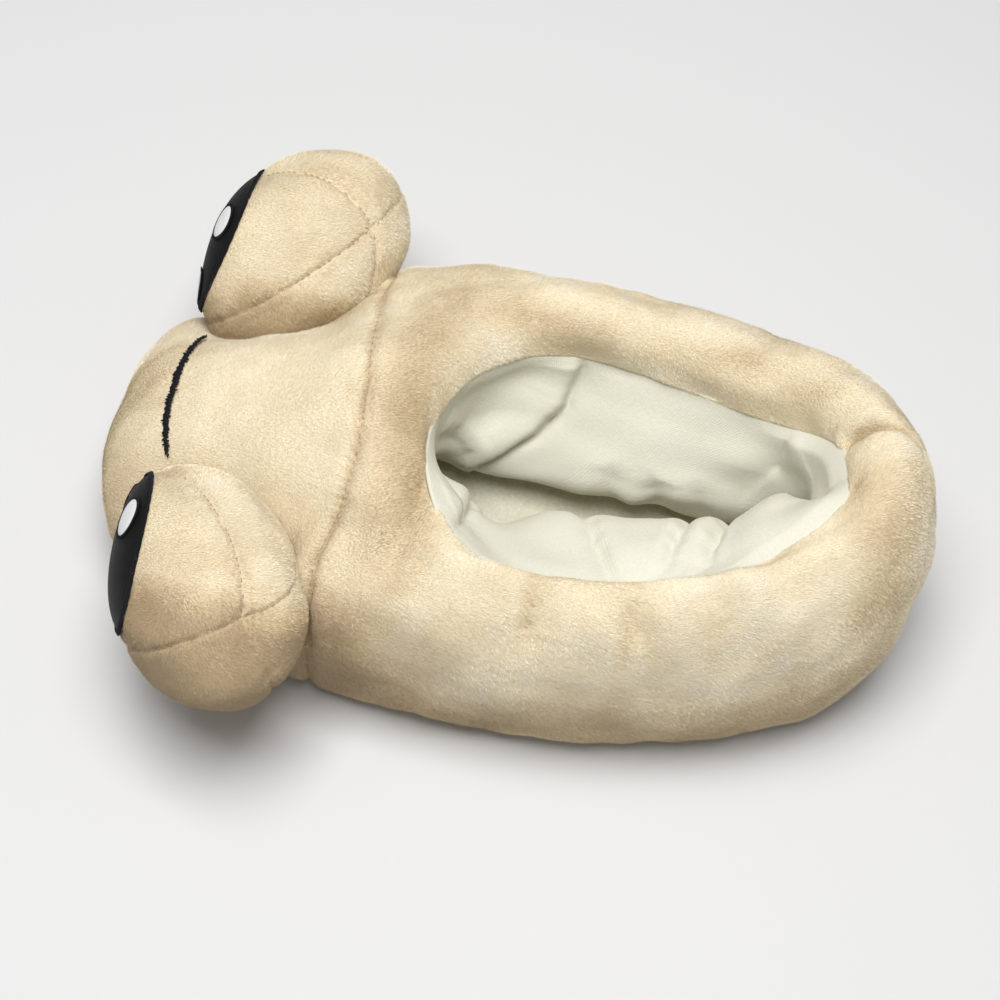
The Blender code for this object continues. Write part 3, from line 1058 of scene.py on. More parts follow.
@dataclass
class Maker:
    """A geometry tree with named inputs that makes what repeats on the points or faces of a carrier."""

    tree: bpy.types.NodeTree | None = field(default=None, init=False)
    sockets: dict[str, str] = field(default_factory=dict, init=False)

    def start(self, name: str, inputs: dict[str, str]) -> tuple[Tree, bpy.types.Node, bpy.types.Node]:
        """Starts the tree.

        Args:
            name: its name.
            inputs: its inputs and their socket types; Geometry is added first.

        Returns:
            The tree to write in, its input node and its output node.
        """
        self.tree = bpy.data.node_groups.new(name, "GeometryNodeTree")
        face = self.tree.interface
        face.new_socket("Geometry", in_out="OUTPUT", socket_type="NodeSocketGeometry")
        face.new_socket("Geometry", in_out="INPUT", socket_type="NodeSocketGeometry")
        for label, kind in inputs.items():
            self.sockets[label] = face.new_socket(label, in_out="INPUT", socket_type=kind).identifier
        tree = Tree(self.tree)
        return tree, tree.add("NodeGroupInput"), tree.add("NodeGroupOutput")

    def run(self, carrier: bpy.types.Object, name: str, values: dict[str, object]) -> bpy.types.Object:
        """Turns what the tree makes on a carrier into a plain mesh object, and removes the carrier.

        Args:
            carrier: the object with the points or faces.
            name: the new object's name.
            values: the tree's inputs.

        Returns:
            The new object.
        """
        making = carrier.modifiers.new(name, "NODES")
        making.node_group = self.tree
        for label, value in values.items():
            making[self.sockets[label]] = value
        bpy.context.view_layer.update()
        graph = bpy.context.evaluated_depsgraph_get()
        mesh = bpy.data.meshes.new_from_object(carrier.evaluated_get(graph))
        mesh.name = name
        for label in CARRIED:
            if mesh.attributes.get(label):
                mesh.attributes.remove(mesh.attributes[label])
        bpy.data.objects.remove(carrier)
        piece = bpy.data.objects.new(name, mesh)
        bpy.context.scene.collection.objects.link(piece)
        return piece


@dataclass
class PileMaker(Maker):
    """Grows short brushed pile on a surface, as leaning blades a fibre bundle wide.

    Neighbouring blades lean, part and tint together in clumps. A span is how far a blade's own value strays.
    """

    density: float = 5.9e6
    length: float = 0.0011
    width: float = 0.00021
    lean: float = math.radians(28)
    clumps: float = 1000.0
    patches: float = 38.0
    length_span: tuple[float, float] = (0.65, 1.2)
    lean_span: tuple[float, float] = (0.7, 1.3)
    yaw_span: tuple[float, float] = (-0.3, 0.3)
    tint_span: tuple[float, float] = (-0.7, 0.7)
    clump_lean: tuple[float, float] = (3.0, -0.5)
    clump_yaw: tuple[float, float] = (1.5, -0.75)
    clump_tint: tuple[float, float] = (4.0, -2.0)
    patch_tint: tuple[float, float] = (3.8, -0.25)
    warm_tint: float = 1.6

    def build(self) -> None:
        """Writes the geometry tree: scatter, turn along the nap, lean, realize and colour."""
        numbers = dict.fromkeys(("Density", "Length", "Width", "Lean"), "NodeSocketFloat")
        tree, given, out = self.start("brushed_pile", {**numbers, "Seed": "NodeSocketInt"})
        density = tree.math("MULTIPLY", tree.stored("pile"), given.outputs["Density"])
        scatter = tree.add(
            "GeometryNodeDistributePointsOnFaces",
            {"Mesh": given.outputs["Geometry"], "Density": density, "Seed": given.outputs["Seed"]},
        )
        clump = tree.noise(self.clumps, 2.0)
        tinted = tree.add(
            "GeometryNodeStoreNamedAttribute",
            {"Geometry": scatter.outputs["Points"], "Name": "tint", "Value": self.tint(tree, clump)},
            data_type="FLOAT",
            domain="POINT",
        )
        long = tree.math("MULTIPLY", given.outputs["Length"], tree.random(*self.length_span, 3))
        size = tree.add("ShaderNodeCombineXYZ", {0: long, 1: given.outputs["Width"], 2: 1.0})
        blades = {
            "Points": tinted.outputs[0],
            "Instance": self.blade(tree),
            "Rotation": self.turn(tree, scatter.outputs["Normal"], clump, given.outputs["Lean"]),
            "Scale": size.outputs[0],
        }
        spread = tree.add("GeometryNodeInstanceOnPoints", blades).outputs[0]
        real = tree.add("GeometryNodeRealizeInstances", {0: spread}).outputs[0]
        for finish in PILE_TINTS:
            picked = {"Geometry": real, "Material": SHARED[finish.name]}
            if finish.above is not None:
                picked["Selection"] = tree.math("GREATER_THAN", tree.stored("tint"), finish.above)
            real = tree.add("GeometryNodeSetMaterial", picked).outputs[0]
        tree.feed(out.inputs[0], real)

    def turn(
        self,
        tree: Tree,
        normal: bpy.types.NodeSocket,
        clump: bpy.types.NodeSocket,
        lean: bpy.types.NodeSocket,
    ) -> bpy.types.NodeSocket:
        """How each blade is turned: upright, then laid over along the nap and a little aside.

        Args:
            tree: the tree to write in.
            normal: the surface's normal.
            clump: the pattern that clumps go by.
            lean: how far the pile leans.

        Returns:
            The blade's rotation.
        """
        upright = tree.add(
            "FunctionNodeAxesToRotation",
            {0: normal, 1: tree.stored("nap", "FLOAT_VECTOR")},
            primary_axis="Z",
            secondary_axis="X",
        )
        parted = tree.noise(self.clumps * 0.7, 2.0, {"W": 4.0}, noise_dimensions="4D")
        tuft = tree.math("MULTIPLY_ADD", clump, *self.clump_lean)
        over = tree.math("MULTIPLY", tree.math("MULTIPLY", tuft, tree.random(*self.lean_span, 1)), lean)
        aside = tree.math("MULTIPLY_ADD", parted, *self.clump_yaw)
        yaw = tree.math("ADD", aside, tree.random(*self.yaw_span, 2))
        tilt = tree.add("ShaderNodeCombineXYZ", {1: tree.math("MULTIPLY", over, -1.0), 2: yaw})
        laid = tree.add("FunctionNodeEulerToRotation", {0: tilt.outputs[0]})
        both = {0: upright.outputs[0], 1: laid.outputs[0]}
        return tree.add("FunctionNodeRotateRotation", both, rotation_space="LOCAL").outputs[0]

    def tint(self, tree: Tree, clump: bpy.types.NodeSocket) -> bpy.types.NodeSocket:
        """How light each blade is: by broad patches, its clump and chance, less where it is stroked back and where
        shade is painted.

        Args:
            tree: the tree to write in.
            clump: the pattern that clumps go by.

        Returns:
            The blade's tint number.
        """
        patch = tree.noise(self.patches, 3.0, {"Distortion": 0.6})
        warm = tree.math("MULTIPLY", tree.stored("warm"), self.warm_tint)
        tint = tree.math("SUBTRACT", tree.math("MULTIPLY_ADD", patch, *self.patch_tint), warm)
        tint = tree.math("ADD", tint, tree.math("MULTIPLY_ADD", clump, *self.clump_tint))
        return tree.math("ADD", tint, tree.random(*self.tint_span, 4))

    @staticmethod
    def blade(tree: Tree) -> bpy.types.NodeSocket:
        """One flat blade, a unit long and wide, with its root at the origin and its tip along X.

        Args:
            tree: the tree to write in.

        Returns:
            The blade's geometry.
        """
        ring = tree.add("GeometryNodeMeshCircle", {"Vertices": 3, "Radius": 1.0}, fill_type="NGON")
        fitted = {"Translation": (1 / 3, 0, 0), "Scale": (2 / 3, 1 / math.sqrt(3), 1)}
        return tree.add("GeometryNodeTransform", {"Geometry": ring.outputs[0], **fitted}).outputs[0]

    def grow(self, base: bpy.types.Object, name: str, share: np.ndarray, seed: int) -> bpy.types.Object:
        """Grows the pile of one zone as a piece of its own.

        Args:
            base: the surface, with its nap direction stored on it.
            name: the new piece's name.
            share: how thick the pile stands at each point of the surface, from 0 to 1.
            seed: the scatter's seed.

        Returns:
            The pile as one mesh.
        """
        ground = base.copy()
        ground.data = base.data.copy()
        bpy.context.scene.collection.objects.link(ground)
        set_attribute(ground.data, "pile", share)
        values = {"Density": self.density, "Length": self.length, "Width": self.width, "Lean": self.lean}
        return self.run(ground, name, {**values, "Seed": seed})


@dataclass
class Stitches:
    """A run of stitches: the middle of each, the way it runs, the surface's normal there and its length."""

    places: np.ndarray
    across: np.ndarray
    normal: np.ndarray
    length: np.ndarray


@dataclass
class StitchMaker(Maker):
    """Lays short threads on a run of places, each along its own direction."""

    def build(self) -> None:
        """Writes the geometry tree: a thread on each place, turned, sized and realized."""
        inputs = {"Thread": "NodeSocketFloat", "Finish": "NodeSocketMaterial"}
        tree, given, out = self.start("laid_stitches", inputs)
        axes = {0: tree.stored("nap", "FLOAT_VECTOR"), 1: tree.stored("across", "FLOAT_VECTOR")}
        turn = tree.add("FunctionNodeAxesToRotation", axes, primary_axis="Z", secondary_axis="X")
        thick = given.outputs["Thread"]
        size = tree.add("ShaderNodeCombineXYZ", {0: tree.stored("size"), 1: thick, 2: thick})
        thread = tree.add("GeometryNodeMeshUVSphere", {"Segments": 6, "Rings": 4, "Radius": 0.5})
        lying = {"Geometry": thread.outputs[0], "Rotation": (0, math.pi / 2, 0)}
        level = tree.add("GeometryNodeTransform", lying)
        threads = {
            "Points": given.outputs["Geometry"],
            "Instance": level.outputs[0],
            "Rotation": turn.outputs[0],
            "Scale": size.outputs[0],
        }
        spread = tree.add("GeometryNodeInstanceOnPoints", threads).outputs[0]
        real = tree.add("GeometryNodeRealizeInstances", {0: spread}).outputs[0]
        dressed = {"Geometry": real, "Material": given.outputs["Finish"]}
        done = tree.add("GeometryNodeSetMaterial", dressed).outputs[0]
        tree.feed(out.inputs[0], tree.add("GeometryNodeSetShadeSmooth", {0: done}).outputs[0])

    def lay(self, name: str, run: Stitches, thread: float, finish: Finish) -> bpy.types.Object:
        """Makes one piece of stitches.

        Args:
            name: the piece's name.
            run: where the stitches lie.
            thread: how thick a stitch is.
            finish: what it is dressed in.

        Returns:
            The stitches as one mesh.
        """
        carrier = make_object(name + "_places", run.places, [])
        set_attribute(carrier.data, "across", run.across)
        set_attribute(carrier.data, "nap", run.normal)
        set_attribute(carrier.data, "size", run.length)
        return self.run(carrier, name, {"Thread": thread, "Finish": SHARED[finish.name]})


# The padded body and its lining: seams, creases, puffs and tints in millimetres

VAMP_SEAM = (
    (-80, 54.5), (-52, 57), (-20, 54), (4, 50.7),
    (22, 49.5), (40, 51.2), (54, 56.2), (68, 56.2), (80, 54.5),
)
BACK_SEAM = ((0, 0), (45, 1), (78, -4), (88, -13), (100, -17.5))
BODY_CREASES = (
    Crease(((28, 12, 74), (26, 40, 83), (28, 50, 82), (30, 64, 75)), 3.6, 3.4),
    Crease(((20, 46, 83), (21, 62, 77)), 3.6, 1.4),
    Crease(((24, -30, 80), (30, -50, 76), (36, -64, 62)), 5, 1.8),
    Crease(((-18, 56, 82), (-18.5, 64, 79), (-15, 73, 66)), 4, 2.6),
    Crease(((-45, 55, 82), (-46, 61, 79), (-53, 67, 71)), 4, 2.8),
    Crease(
        ((-105, -14.5, 88), (-109, -16, 93), (-114, -17.5, 96), (-121, -17, 96)),
        2, 3, 0.1, (0.6, 0.1), 1,
    ),
    Crease(((-107, 4, 90), (-111, 8, 93)), 3.4, 1),
    Crease(((-105, 6, 88), (-109, 16, 91)), 4, 1),
    Crease(((-134.5, 2, 78), (-135, 10, 62), (-134, 18, 44)), 3, 2.2, step=1),
    Crease(((-80, 26, 84), (-90, 44, 86)), 4.5, 1.8),
    Crease(((-66, 40, 84), (-74, 56, 80)), 4.5, 1.2),
    Crease(((10, -44, 80), (18, -60, 75)), 6, 1.4),
    Crease(((-35, -52, 83), (-38, -66, 75)), 6, 1.2),
    Crease(((-72, -44, 87), (-80, -60, 78)), 6, 1.4),
)
BODY_PUFFS = (
    Puff((-116, -4, 97), (10, 12, 12), 1.6),
    Puff((-98, -30, 92), (22, 10, 12), 2.2),
    Puff((-10, 63, 80), (18, 10, 12), 1.2),
    Puff((-32, 62, 80), (11, 9, 12), 1.4),
    Puff((-64, 54, 80), (14, 10, 12), 1),
)
# Spots of deeper pile tone: partly pile stroked back, partly painted shade, as low on the vamp's near side behind
# the eye.
BODY_STROKES_AND_SHADE = (
    Puff((31, 26, 84), (11, 26, 20), 1.1),
    Puff((38, -4, 86), (12, 26, 20), 1.2),
    Puff((36, -36, 78), (10, 18, 20), 0.7),
    Puff((36, 52, 74), (12, 16, 20), 0.8),
    Puff((-6, -44, 80), (26, 6, 12), 0.8),
    Puff((-52, -41, 83), (28, 5, 10), 0.8),
    Puff((-88, -30, 87), (18, 5, 8), 1.1),
    Puff((-110, -14, 92), (5, 5, 8), 0.6),
    Puff((-82, 33, 84), (12, 5, 10), 0.5),
    Puff((-88, 25, 86), (5, 5, 8), 0.9),
    Puff((-96, 13, 88), (4, 4, 8), 0.8),
    Puff((-111, 22, 86), (5, 6, 8), 0.7),
    Puff((-14, 61, 74), (3, 10, 12), 0.9),
    Puff((-46, 66, 72), (3, 10, 12), 0.9),
    Puff((50, 76, 42), (22, 14, 32), 2.2),
    Puff((86, 10, 80), (14, 20, 20), 0.4),
    Puff((66, 50, 70), (10, 12, 16), 0.8),
    Puff((70, -50, 70), (10, 12, 16), 0.8),
    Puff((126, -4, 62), (6, 12, 10), 0.8),
    Puff((-122, 14, 92), (12, 24, 16), 1.1),
    Puff((-128, 34, 70), (16, 22, 24), 0.8),
    Puff((128, 20, 46), (14, 30, 24), 0.8),
)
LINING_CREASES = (
    Crease(
        ((-15, -42, 68), (-14, -37, 60), (-11, -30, 50), (-3, -23, 41), (7, -18, 34), (14, -14, 29)),
        1.5, 4.2, 0.0, (0.4, 0.6), -4,
    ),
    Crease(((24, -4, 60), (21, -10, 48), (18, -13, 36)), 2.4, 1.6, 0.2, (0.1, 0.8), 1.2),
    Crease(((20, -18, 58), (17, -20, 48), (12, -19, 38)), 5, 1.2),
    Crease(((-32, -22, 38), (-33, -18, 32), (-34, -14, 26)), 4.4, 2, 0.1, (0.0, 1.0)),
    Crease(((-47, -20, 38), (-48, -17, 32), (-49, -13, 26)), 4.8, 2.6, 0.1, (0.0, 1.0)),
    Crease(((-60, -20, 40), (-64, -13, 28)), 4, 1.4, 0.3, (0.0, 1.0)),
    Crease(((-98, -30, 82), (-95, -29, 74), (-91, -27, 64), (-88, -24, 54)), 2, 1.2, 0.1, (0.3, 0.9), 1.2),
    Crease(((14, 40, 78), (12, 30, 70), (11, 20, 62), (11, 12, 54)), 1.8, 3, 0.1, (0.2, 0.9), 3),
    Crease(((-40, 46, 75), (-36, 36, 68), (-30, 22, 58), (-26, 10, 46)), 2.6, 2.6, 0.1, (0.2, 0.7), -3),
    Crease(((-52, 40, 74), (-56, 28, 66), (-60, 16, 58), (-63, 6, 48)), 1.8, 2.4, 0.2, (0.1, 1.0), 1.6),
    Crease(((-66, 34, 75), (-69, 22, 67), (-72, 8, 60), (-74, -2, 50)), 1.8, 4.4, 0.1, (0.2, 1.0), 3.6),
)
LINING_PUFFS = (
    Puff((-10, 12, 50), (18, 16, 16), 5),
    Puff((-50, 14, 52), (13, 16, 16), 3),
    Puff((-64, 10, 52), (6, 12, 12), 2),
    Puff((-94, 12, 60), (22, 22, 22), 18),
    Puff((-62, -16, 30), (18, 14, 14), 1.6),
    Puff((-40, -14, 27), (6, 10, 8), 1.6),
    Puff((18, 20, 54), (12, 14, 14), 6),
    Puff((14, -18, 34), (14, 12, 14), 4),
    Puff((-106, -18, 62), (18, 20, 24), 4),
)
BACK_SEAM_FRONT = -0.100
SEAM_JUMP = 0.02
SEAM_BREAK = 0.012
SEAM_SPACING = 0.0012
SEAM_SMOOTHING = 5
SEAM_START_LEAN = 0.2
BODY_WAVES = (Wave(0.0008, 0.034, 3), Wave(0.0003, 0.013, 5))
SEAM_PUCKER = Wave(0.0004, 0.006, 9)
SEAM_PUCKER_REACH = 0.005
NAP_ASIDE = Wave(0.72, 0.050, 11)
NAP_UP = Wave(0.5, 0.035, 12)
NAP_DOWN = -0.35
LINING_WAVE = Wave(0.0006, 0.020, 8)


@dataclass
class PaddedBody:
    """The upper: plush outside, padding, and the seams and creases that its cloth shows.

    Its shell is a grid of rings, with around points each: climb rings on the outside, descent rings on the
    inside, and three that close it under the foot. The sides carry painted shade that deepens from shade_height
    down to the sole.
    The fades, ends and starts are counted in the loft's rings: over them the moves and the pile come and go.
    """

    form: SlipperForm
    pile: PileMaker
    stitches: StitchMaker
    around: int = 560
    climb: int = 118
    descent: int = 22
    seam_width: float = 0.0014
    seam_depth: float = 0.0018
    seam_lip: float = 0.0005
    seam_lip_place: float = 0.005
    seam_lip_width: float = 0.004
    seam_warmth: float = 1.6
    lining_depth: float = 0.0068
    past_collar: float = 0.25
    below_collar: float = 0.5
    collar_fade: float = 0.15
    welt_fade: tuple[float, float] = (0.2, 1.0)
    lining_fade: float = 0.3
    floor_fade: float = 0.2
    pile_start: tuple[float, float] = (0.35, 0.75)
    pile_end: tuple[float, float] = (0.05, 0.20)
    ball_fade: tuple[float, float] = (1.0, 1.04)
    seam_end: float = 1.3
    shade_height: float = 0.056
    shade_warmth: float = 2.3
    shade_most: float = 1.5
    parting: float = 0.9
    parting_width: float = 0.0010
    zone_front: float = 0.055
    zone_back: float = -0.075
    first_seed: int = 20
    stitch_pitch: float = 0.0030
    stitch_length: float = 0.0022
    stitch_thread: float = 0.00034
    stitch_lift: float = 0.0001

    def rows(self) -> np.ndarray:
        """Where each ring lies along the loft.

        Returns:
            A column of places, counted in the loft's rings.
        """
        outside = np.linspace(0, COLLAR_HEIGHT + self.past_collar, self.climb)
        inside = np.linspace(COLLAR_HEIGHT + self.below_collar, FLOOR_HEIGHT, self.descent)
        return np.concatenate([outside, inside, FLOOR_HEIGHT + np.arange(1, 4)])[:, None]

    def grid(self) -> tuple[np.ndarray, np.ndarray, np.ndarray]:
        """The body's closed shell.

        Returns:
            Its points, their normals, and how far each lies from the nearest seam.
        """
        angle = full_turn(self.around)
        points = self.form.surface(angle, self.rows()[:-3, 0])
        foot = self.form.foot_oval(angle)
        rebate = self.form.body(angle, self.form.sole_inset - self.form.welt_gap)
        foot[:, 2] = rebate[:, 2] = self.form.sole + self.form.gap
        points = np.concatenate([points, [foot, (foot + rebate) / 2, rebate]])
        seam = np.minimum(np.abs(self.vamp_gap(points)), np.abs(self.back_gap(points)))
        return points, grid_normals(points, True), seam

    @staticmethod
    def vamp_gap(points: np.ndarray) -> np.ndarray:
        """How far in front of the vamp's seam each point lies: the seam's place along X goes by Y."""
        across, along = np.array(VAMP_SEAM).T * MM
        return points[..., 0] - np.interp(points[..., 1], across, along)

    @staticmethod
    def back_gap(points: np.ndarray) -> np.ndarray:
        """How far to the left of the heel's seam each point lies: its place along Y goes by Z.

        Args:
            points: places on the body.

        Returns:
            The gap of each, or a metre in front of the heel.
        """
        up, aside = np.array(BACK_SEAM).T * MM
        gap = points[..., 1] - np.interp(points[..., 2], up, aside)
        return np.where(points[..., 0] < BACK_SEAM_FRONT, gap, 1.0)

    def build(self) -> None:
        """Makes the plush body, its pile and its stitches, and replaces the upper's solid."""
        points, normals, seam = self.grid()
        rows, border = self.rows(), self.form.border(full_turn(self.around))
        outside = fade(rows, border + self.collar_fade, border - self.collar_fade) * fade(rows, *self.welt_fade)
        inside = fade(rows, border, border + self.lining_fade)
        inside = inside * fade(rows, FLOOR_HEIGHT + self.floor_fade, FLOOR_HEIGHT - self.floor_fade)
        move = self.moves(points, normals, seam) * outside - self.lining_depth * inside
        points = points + normals * move[..., None]
        body = make_object("plush_body", points, grid_faces(len(points), self.around, True))
        body.data.materials.append(SHARED[PLUSH.name])
        set_attribute(body.data, "nap", self.nap(points, normals))
        # The pile's tone: stroked-back spots, plus painted shade in creases, along the seams' grooves and low on
        # the sides towards the sole.
        warm = warmth(points, BODY_STROKES_AND_SHADE, BODY_CREASES) + self.seam_warmth * bell(seam, self.seam_width)
        shaded = self.shade_warmth * (1 - points[..., 2] / self.shade_height)
        set_attribute(body.data, "warm", warm + np.clip(shaded, 0, self.shade_most))
        place(body, "plush", "upper")
        self.grow_pile(body, points, seam)
        self.sew(points, normals)

    def moves(self, points: np.ndarray, normals: np.ndarray, seam: np.ndarray) -> np.ndarray:
        """How far each point moves outwards for the creases, the puffs, the uneven padding and the seams.

        Args:
            points: places on the shell.
            normals: its normals there.
            seam: how far each point lies from the nearest seam.

        Returns:
            The move of each point along its normal.
        """
        move = relief(points[: self.climb], normals[: self.climb], BODY_CREASES, BODY_PUFFS)
        move = np.pad(move, ((0, len(points) - self.climb), (0, 0)))
        move += sum(wave.over(points) for wave in BODY_WAVES)
        move -= self.seam_depth * bell(seam, self.seam_width)
        move += self.seam_lip * bell(seam - self.seam_lip_place, self.seam_lip_width)
        return move + np.exp(-seam / SEAM_PUCKER_REACH) * SEAM_PUCKER.over(points)

    @staticmethod
    def nap(points: np.ndarray, normals: np.ndarray) -> np.ndarray:
        """The way that the pile lies: back and down, stroked aside in broad patches.

        Args:
            points: places on the body.
            normals: its normals there.

        Returns:
            The unit vector at each point, along the surface.
        """
        aside = NAP_ASIDE.over(points)
        way = np.stack([-np.ones_like(aside), aside, NAP_DOWN + NAP_UP.over(points)], -1)
        return along_surface(way, normals)

    def grow_pile(self, body: bpy.types.Object, points: np.ndarray, seam: np.ndarray) -> None:
        """Grows the pile in four zones, so that no piece is too heavy.

        Args:
            body: the plush body.
            points: its points.
            seam: how far each point lies from the nearest seam.
        """
        rows, border = self.rows(), self.form.border(full_turn(self.around))
        cover = fade(border - rows, *self.pile_end) * fade(rows, *self.pile_start)
        cover *= 1 - self.parting * bell(seam, self.parting_width)
        for eye in self.form.eyes:
            cover *= fade(eye.local(points)[1], *self.ball_fade)
        x, y = points[..., 0], points[..., 1]
        middle = (x <= self.zone_front) & (x > self.zone_back)
        zones = {
            "pile_muzzle": x > self.zone_front,
            "pile_left": middle & (y > 0),
            "pile_right": middle & (y <= 0),
            "pile_heel": x <= self.zone_back,
        }
        for seed, (name, zone) in enumerate(zones.items(), self.first_seed):
            place(self.pile.grow(body, name, (cover * zone).ravel(), seed), "plush")

    def sew(self, points: np.ndarray, normals: np.ndarray) -> None:
        """Lays the small stitches that show in the panel seams.

        Args:
            points: places on the shell.
            normals: its normals there.
        """
        rows = int(self.climb * (COLLAR_HEIGHT - self.seam_end) / (COLLAR_HEIGHT + self.past_collar))
        for name, gap in (("vamp_stitches", self.vamp_gap(points)), ("back_stitches", self.back_gap(points))):
            places, along = even_steps(self.crossings(points[:rows], gap[:rows]), self.stitch_pitch)
            out = normals.reshape(-1, 3)[nearest(points, places)]
            length = np.full(len(places), self.stitch_length)
            run = Stitches(places + out * self.stitch_lift, along, out, length)
            place(self.stitches.lay(name, run, self.stitch_thread, SEAM_STITCH), "plush")

    @staticmethod
    def crossings(points: np.ndarray, gap: np.ndarray) -> np.ndarray:
        """The run of places where a seam's gap changes sign, in order from one end to the other.

        Args:
            points: the rings that the seam runs over.
            gap: how far each point lies from the seam, with a sign for its side.

        Returns:
            The seam's places, smoothed a little.
        """
        found = []
        for axis in (0, 1):
            there, high = np.roll(points, -1, axis), np.roll(gap, -1, axis)
            cut = (gap * high < 0) & (np.abs(gap - high) < SEAM_JUMP)
            if axis == 0:
                cut[-1] = False
            share = (gap / (gap - high + 1e-12))[cut][:, None]
            found.append(points[cut] * (1 - share) + there[cut] * share)
        loose = np.concatenate(found)
        run = [loose[np.argmin(loose[:, 2] - SEAM_START_LEAN * loose[:, 1])]]
        left = np.ones(len(loose), bool)
        while left.any():
            gaps = np.where(left, np.linalg.norm(loose - run[-1], axis=1), np.inf)
            if gaps.min() > SEAM_BREAK:
                break
            left &= gaps > SEAM_SPACING
            run.append(loose[np.argmin(gaps)])
        kernel = np.ones(SEAM_SMOOTHING) / SEAM_SMOOTHING
        return np.stack([np.convolve(np.array(run)[1:, i], kernel, "valid") for i in range(3)], -1)


@dataclass
class Lining:
    """The knitted lining: a thin folded sleeve from the collar's edge down to the insole."""

    form: SlipperForm
    around: int = 340
    drop: int = 76
    thickness: float = 0.0009
    under_edge: float = 0.12
    edge_ease: float = 0.55
    sunk: float = 0.0004

    def face(self) -> np.ndarray:
        """The sleeve's inner face, with its folds and puffs.

        Returns:
            Its points, as rows from the collar's edge down by places round.
        """
        angle = full_turn(self.around)
        border = self.form.border(angle)
        heights = border - self.under_edge + (FLOOR_HEIGHT - border) * np.linspace(0, 1, self.drop)[:, None]
        points = self.form.surface(angle, heights)
        normals = grid_normals(points, False)
        held = np.clip((heights - border + self.under_edge) / self.edge_ease, 0, 1)
        face = points + normals * (relief(points, normals, (), LINING_PUFFS) * held - self.sunk)[..., None]
        normals = grid_normals(face, False)
        move = relief(face, normals, LINING_CREASES) + LINING_WAVE.over(points)
        return face + normals * (move * held)[..., None]

    def build(self) -> None:
        """Makes the sleeve as a thin shell and maps its cloth along and down the wall."""
        face = self.face()
        back = face - grid_normals(face, False) * self.thickness
        shell = np.concatenate([face, back[::-1]])
        lining = make_object("lining", shell, grid_faces(len(shell), self.around, True))
        turn_outwards(lining)
        self.map_cloth(lining.data, face)
        lining.data.materials.append(SHARED[LINING.name])
        place(lining, "plush")

    def map_cloth(self, mesh: bpy.types.Mesh, face: np.ndarray) -> None:
        """Gives the sleeve a map in metres: round the opening and down the wall.

        Args:
            mesh: the sleeve's mesh.
            face: the points of its inner face.
        """
        ring = face[self.drop // 3]
        girth = np.linalg.norm(np.diff(ring, axis=0, append=ring[:1]), axis=1).sum()
        across = np.arange(self.around) / self.around * girth * np.ones((self.drop, 1))
        down = np.zeros((self.drop, self.around))
        down[1:] = np.cumsum(np.linalg.norm(np.diff(face, axis=0), axis=2), axis=0)
        flat = np.stack([across, down], -1)
        flat = np.concatenate([flat, flat[::-1]]).reshape(-1, 2)
        spots = flat[corner_points(mesh)].reshape(-1, 4, 2)
        behind = spots[:, :1, 0] - spots[:, :, 0]
        spots[:, :, 0] += np.where(np.abs(behind) > girth / 2, np.sign(behind) * girth, 0)
        mesh.uv_layers.new(name=CLOTH_MAP).data.foreach_set("uv", spots.ravel())


# The eyes


@dataclass(frozen=True)
class Gores:
    """How one ball's four gores are cut and lie.

    The pole is where they meet at the back, the seams are their angles round it in degrees, and the twist
    turns them on the way to the front. From shade_from on, painted shade deepens the pile's tone on the side that
    turns away from the light.
    """

    pole: tuple[float, float, float]
    seams: tuple[int, int, int, int]
    twist: float
    shade_from: float


@dataclass(frozen=True)
class Oval:
    """An oval of satin stitch with a corded edge, on a ball's patch.

    Its names follow the patch's. The middle lies across, outwards from the slipper's middle, and up from the
    patch's own. The lift is of the fill's underside, and the edge has its own lift and stitch length. It runs
    edge_out outside the oval.
    """

    name: str
    edge_name: str
    middle: tuple[float, float]
    size: tuple[float, float]
    finish: Finish
    lift: float
    thickness: float
    edge_lift: float
    edge_stitch: float
    edge_out: float = 0.0


GORES = {
    Side.LEFT: Gores((-0.524, 0.556, 0.645), (57, 177, 266, 344), 0.17, -0.06),
    Side.RIGHT: Gores((-0.777, -0.041, 0.628), (60, 155, 226, 334), 0.0, 0.42),
}
PATCH = Oval("_fill", "_edge", (0, 0), (0.062, 0.052), BLACK_FILL, 0.0004, 0.0007, 0.0010, 0.0022)
GLINTS = tuple(
    Oval(f"_{name}", f"_{name}_edge", middle, size, WHITE_FILL, 0.0011, 0.0006, 0.0014, 0.0013, 0.0002)
    for name, middle, size in (
        ("glint", (-0.00868, 0.01456), (0.015, 0.011)),
        ("spark", (-0.02294, -0.00572), (0.009, 0.014)),
    )
)
GROOVE_WAVE = Wave(0.5, 0.016, 19)
BALL_SHADE_WAVE = Wave(0.09, 0.026, 23)
BALL_NAP_WAY = -0.7
BALL_NAP = (Wave(0.5, 0.03, 15), Wave(0.4, 0.03, 16))
BALL_PUCKER = Wave(0.0004, 0.0055, 31)
BALL_STUFFING = Wave(0.0006, 0.020, 7)


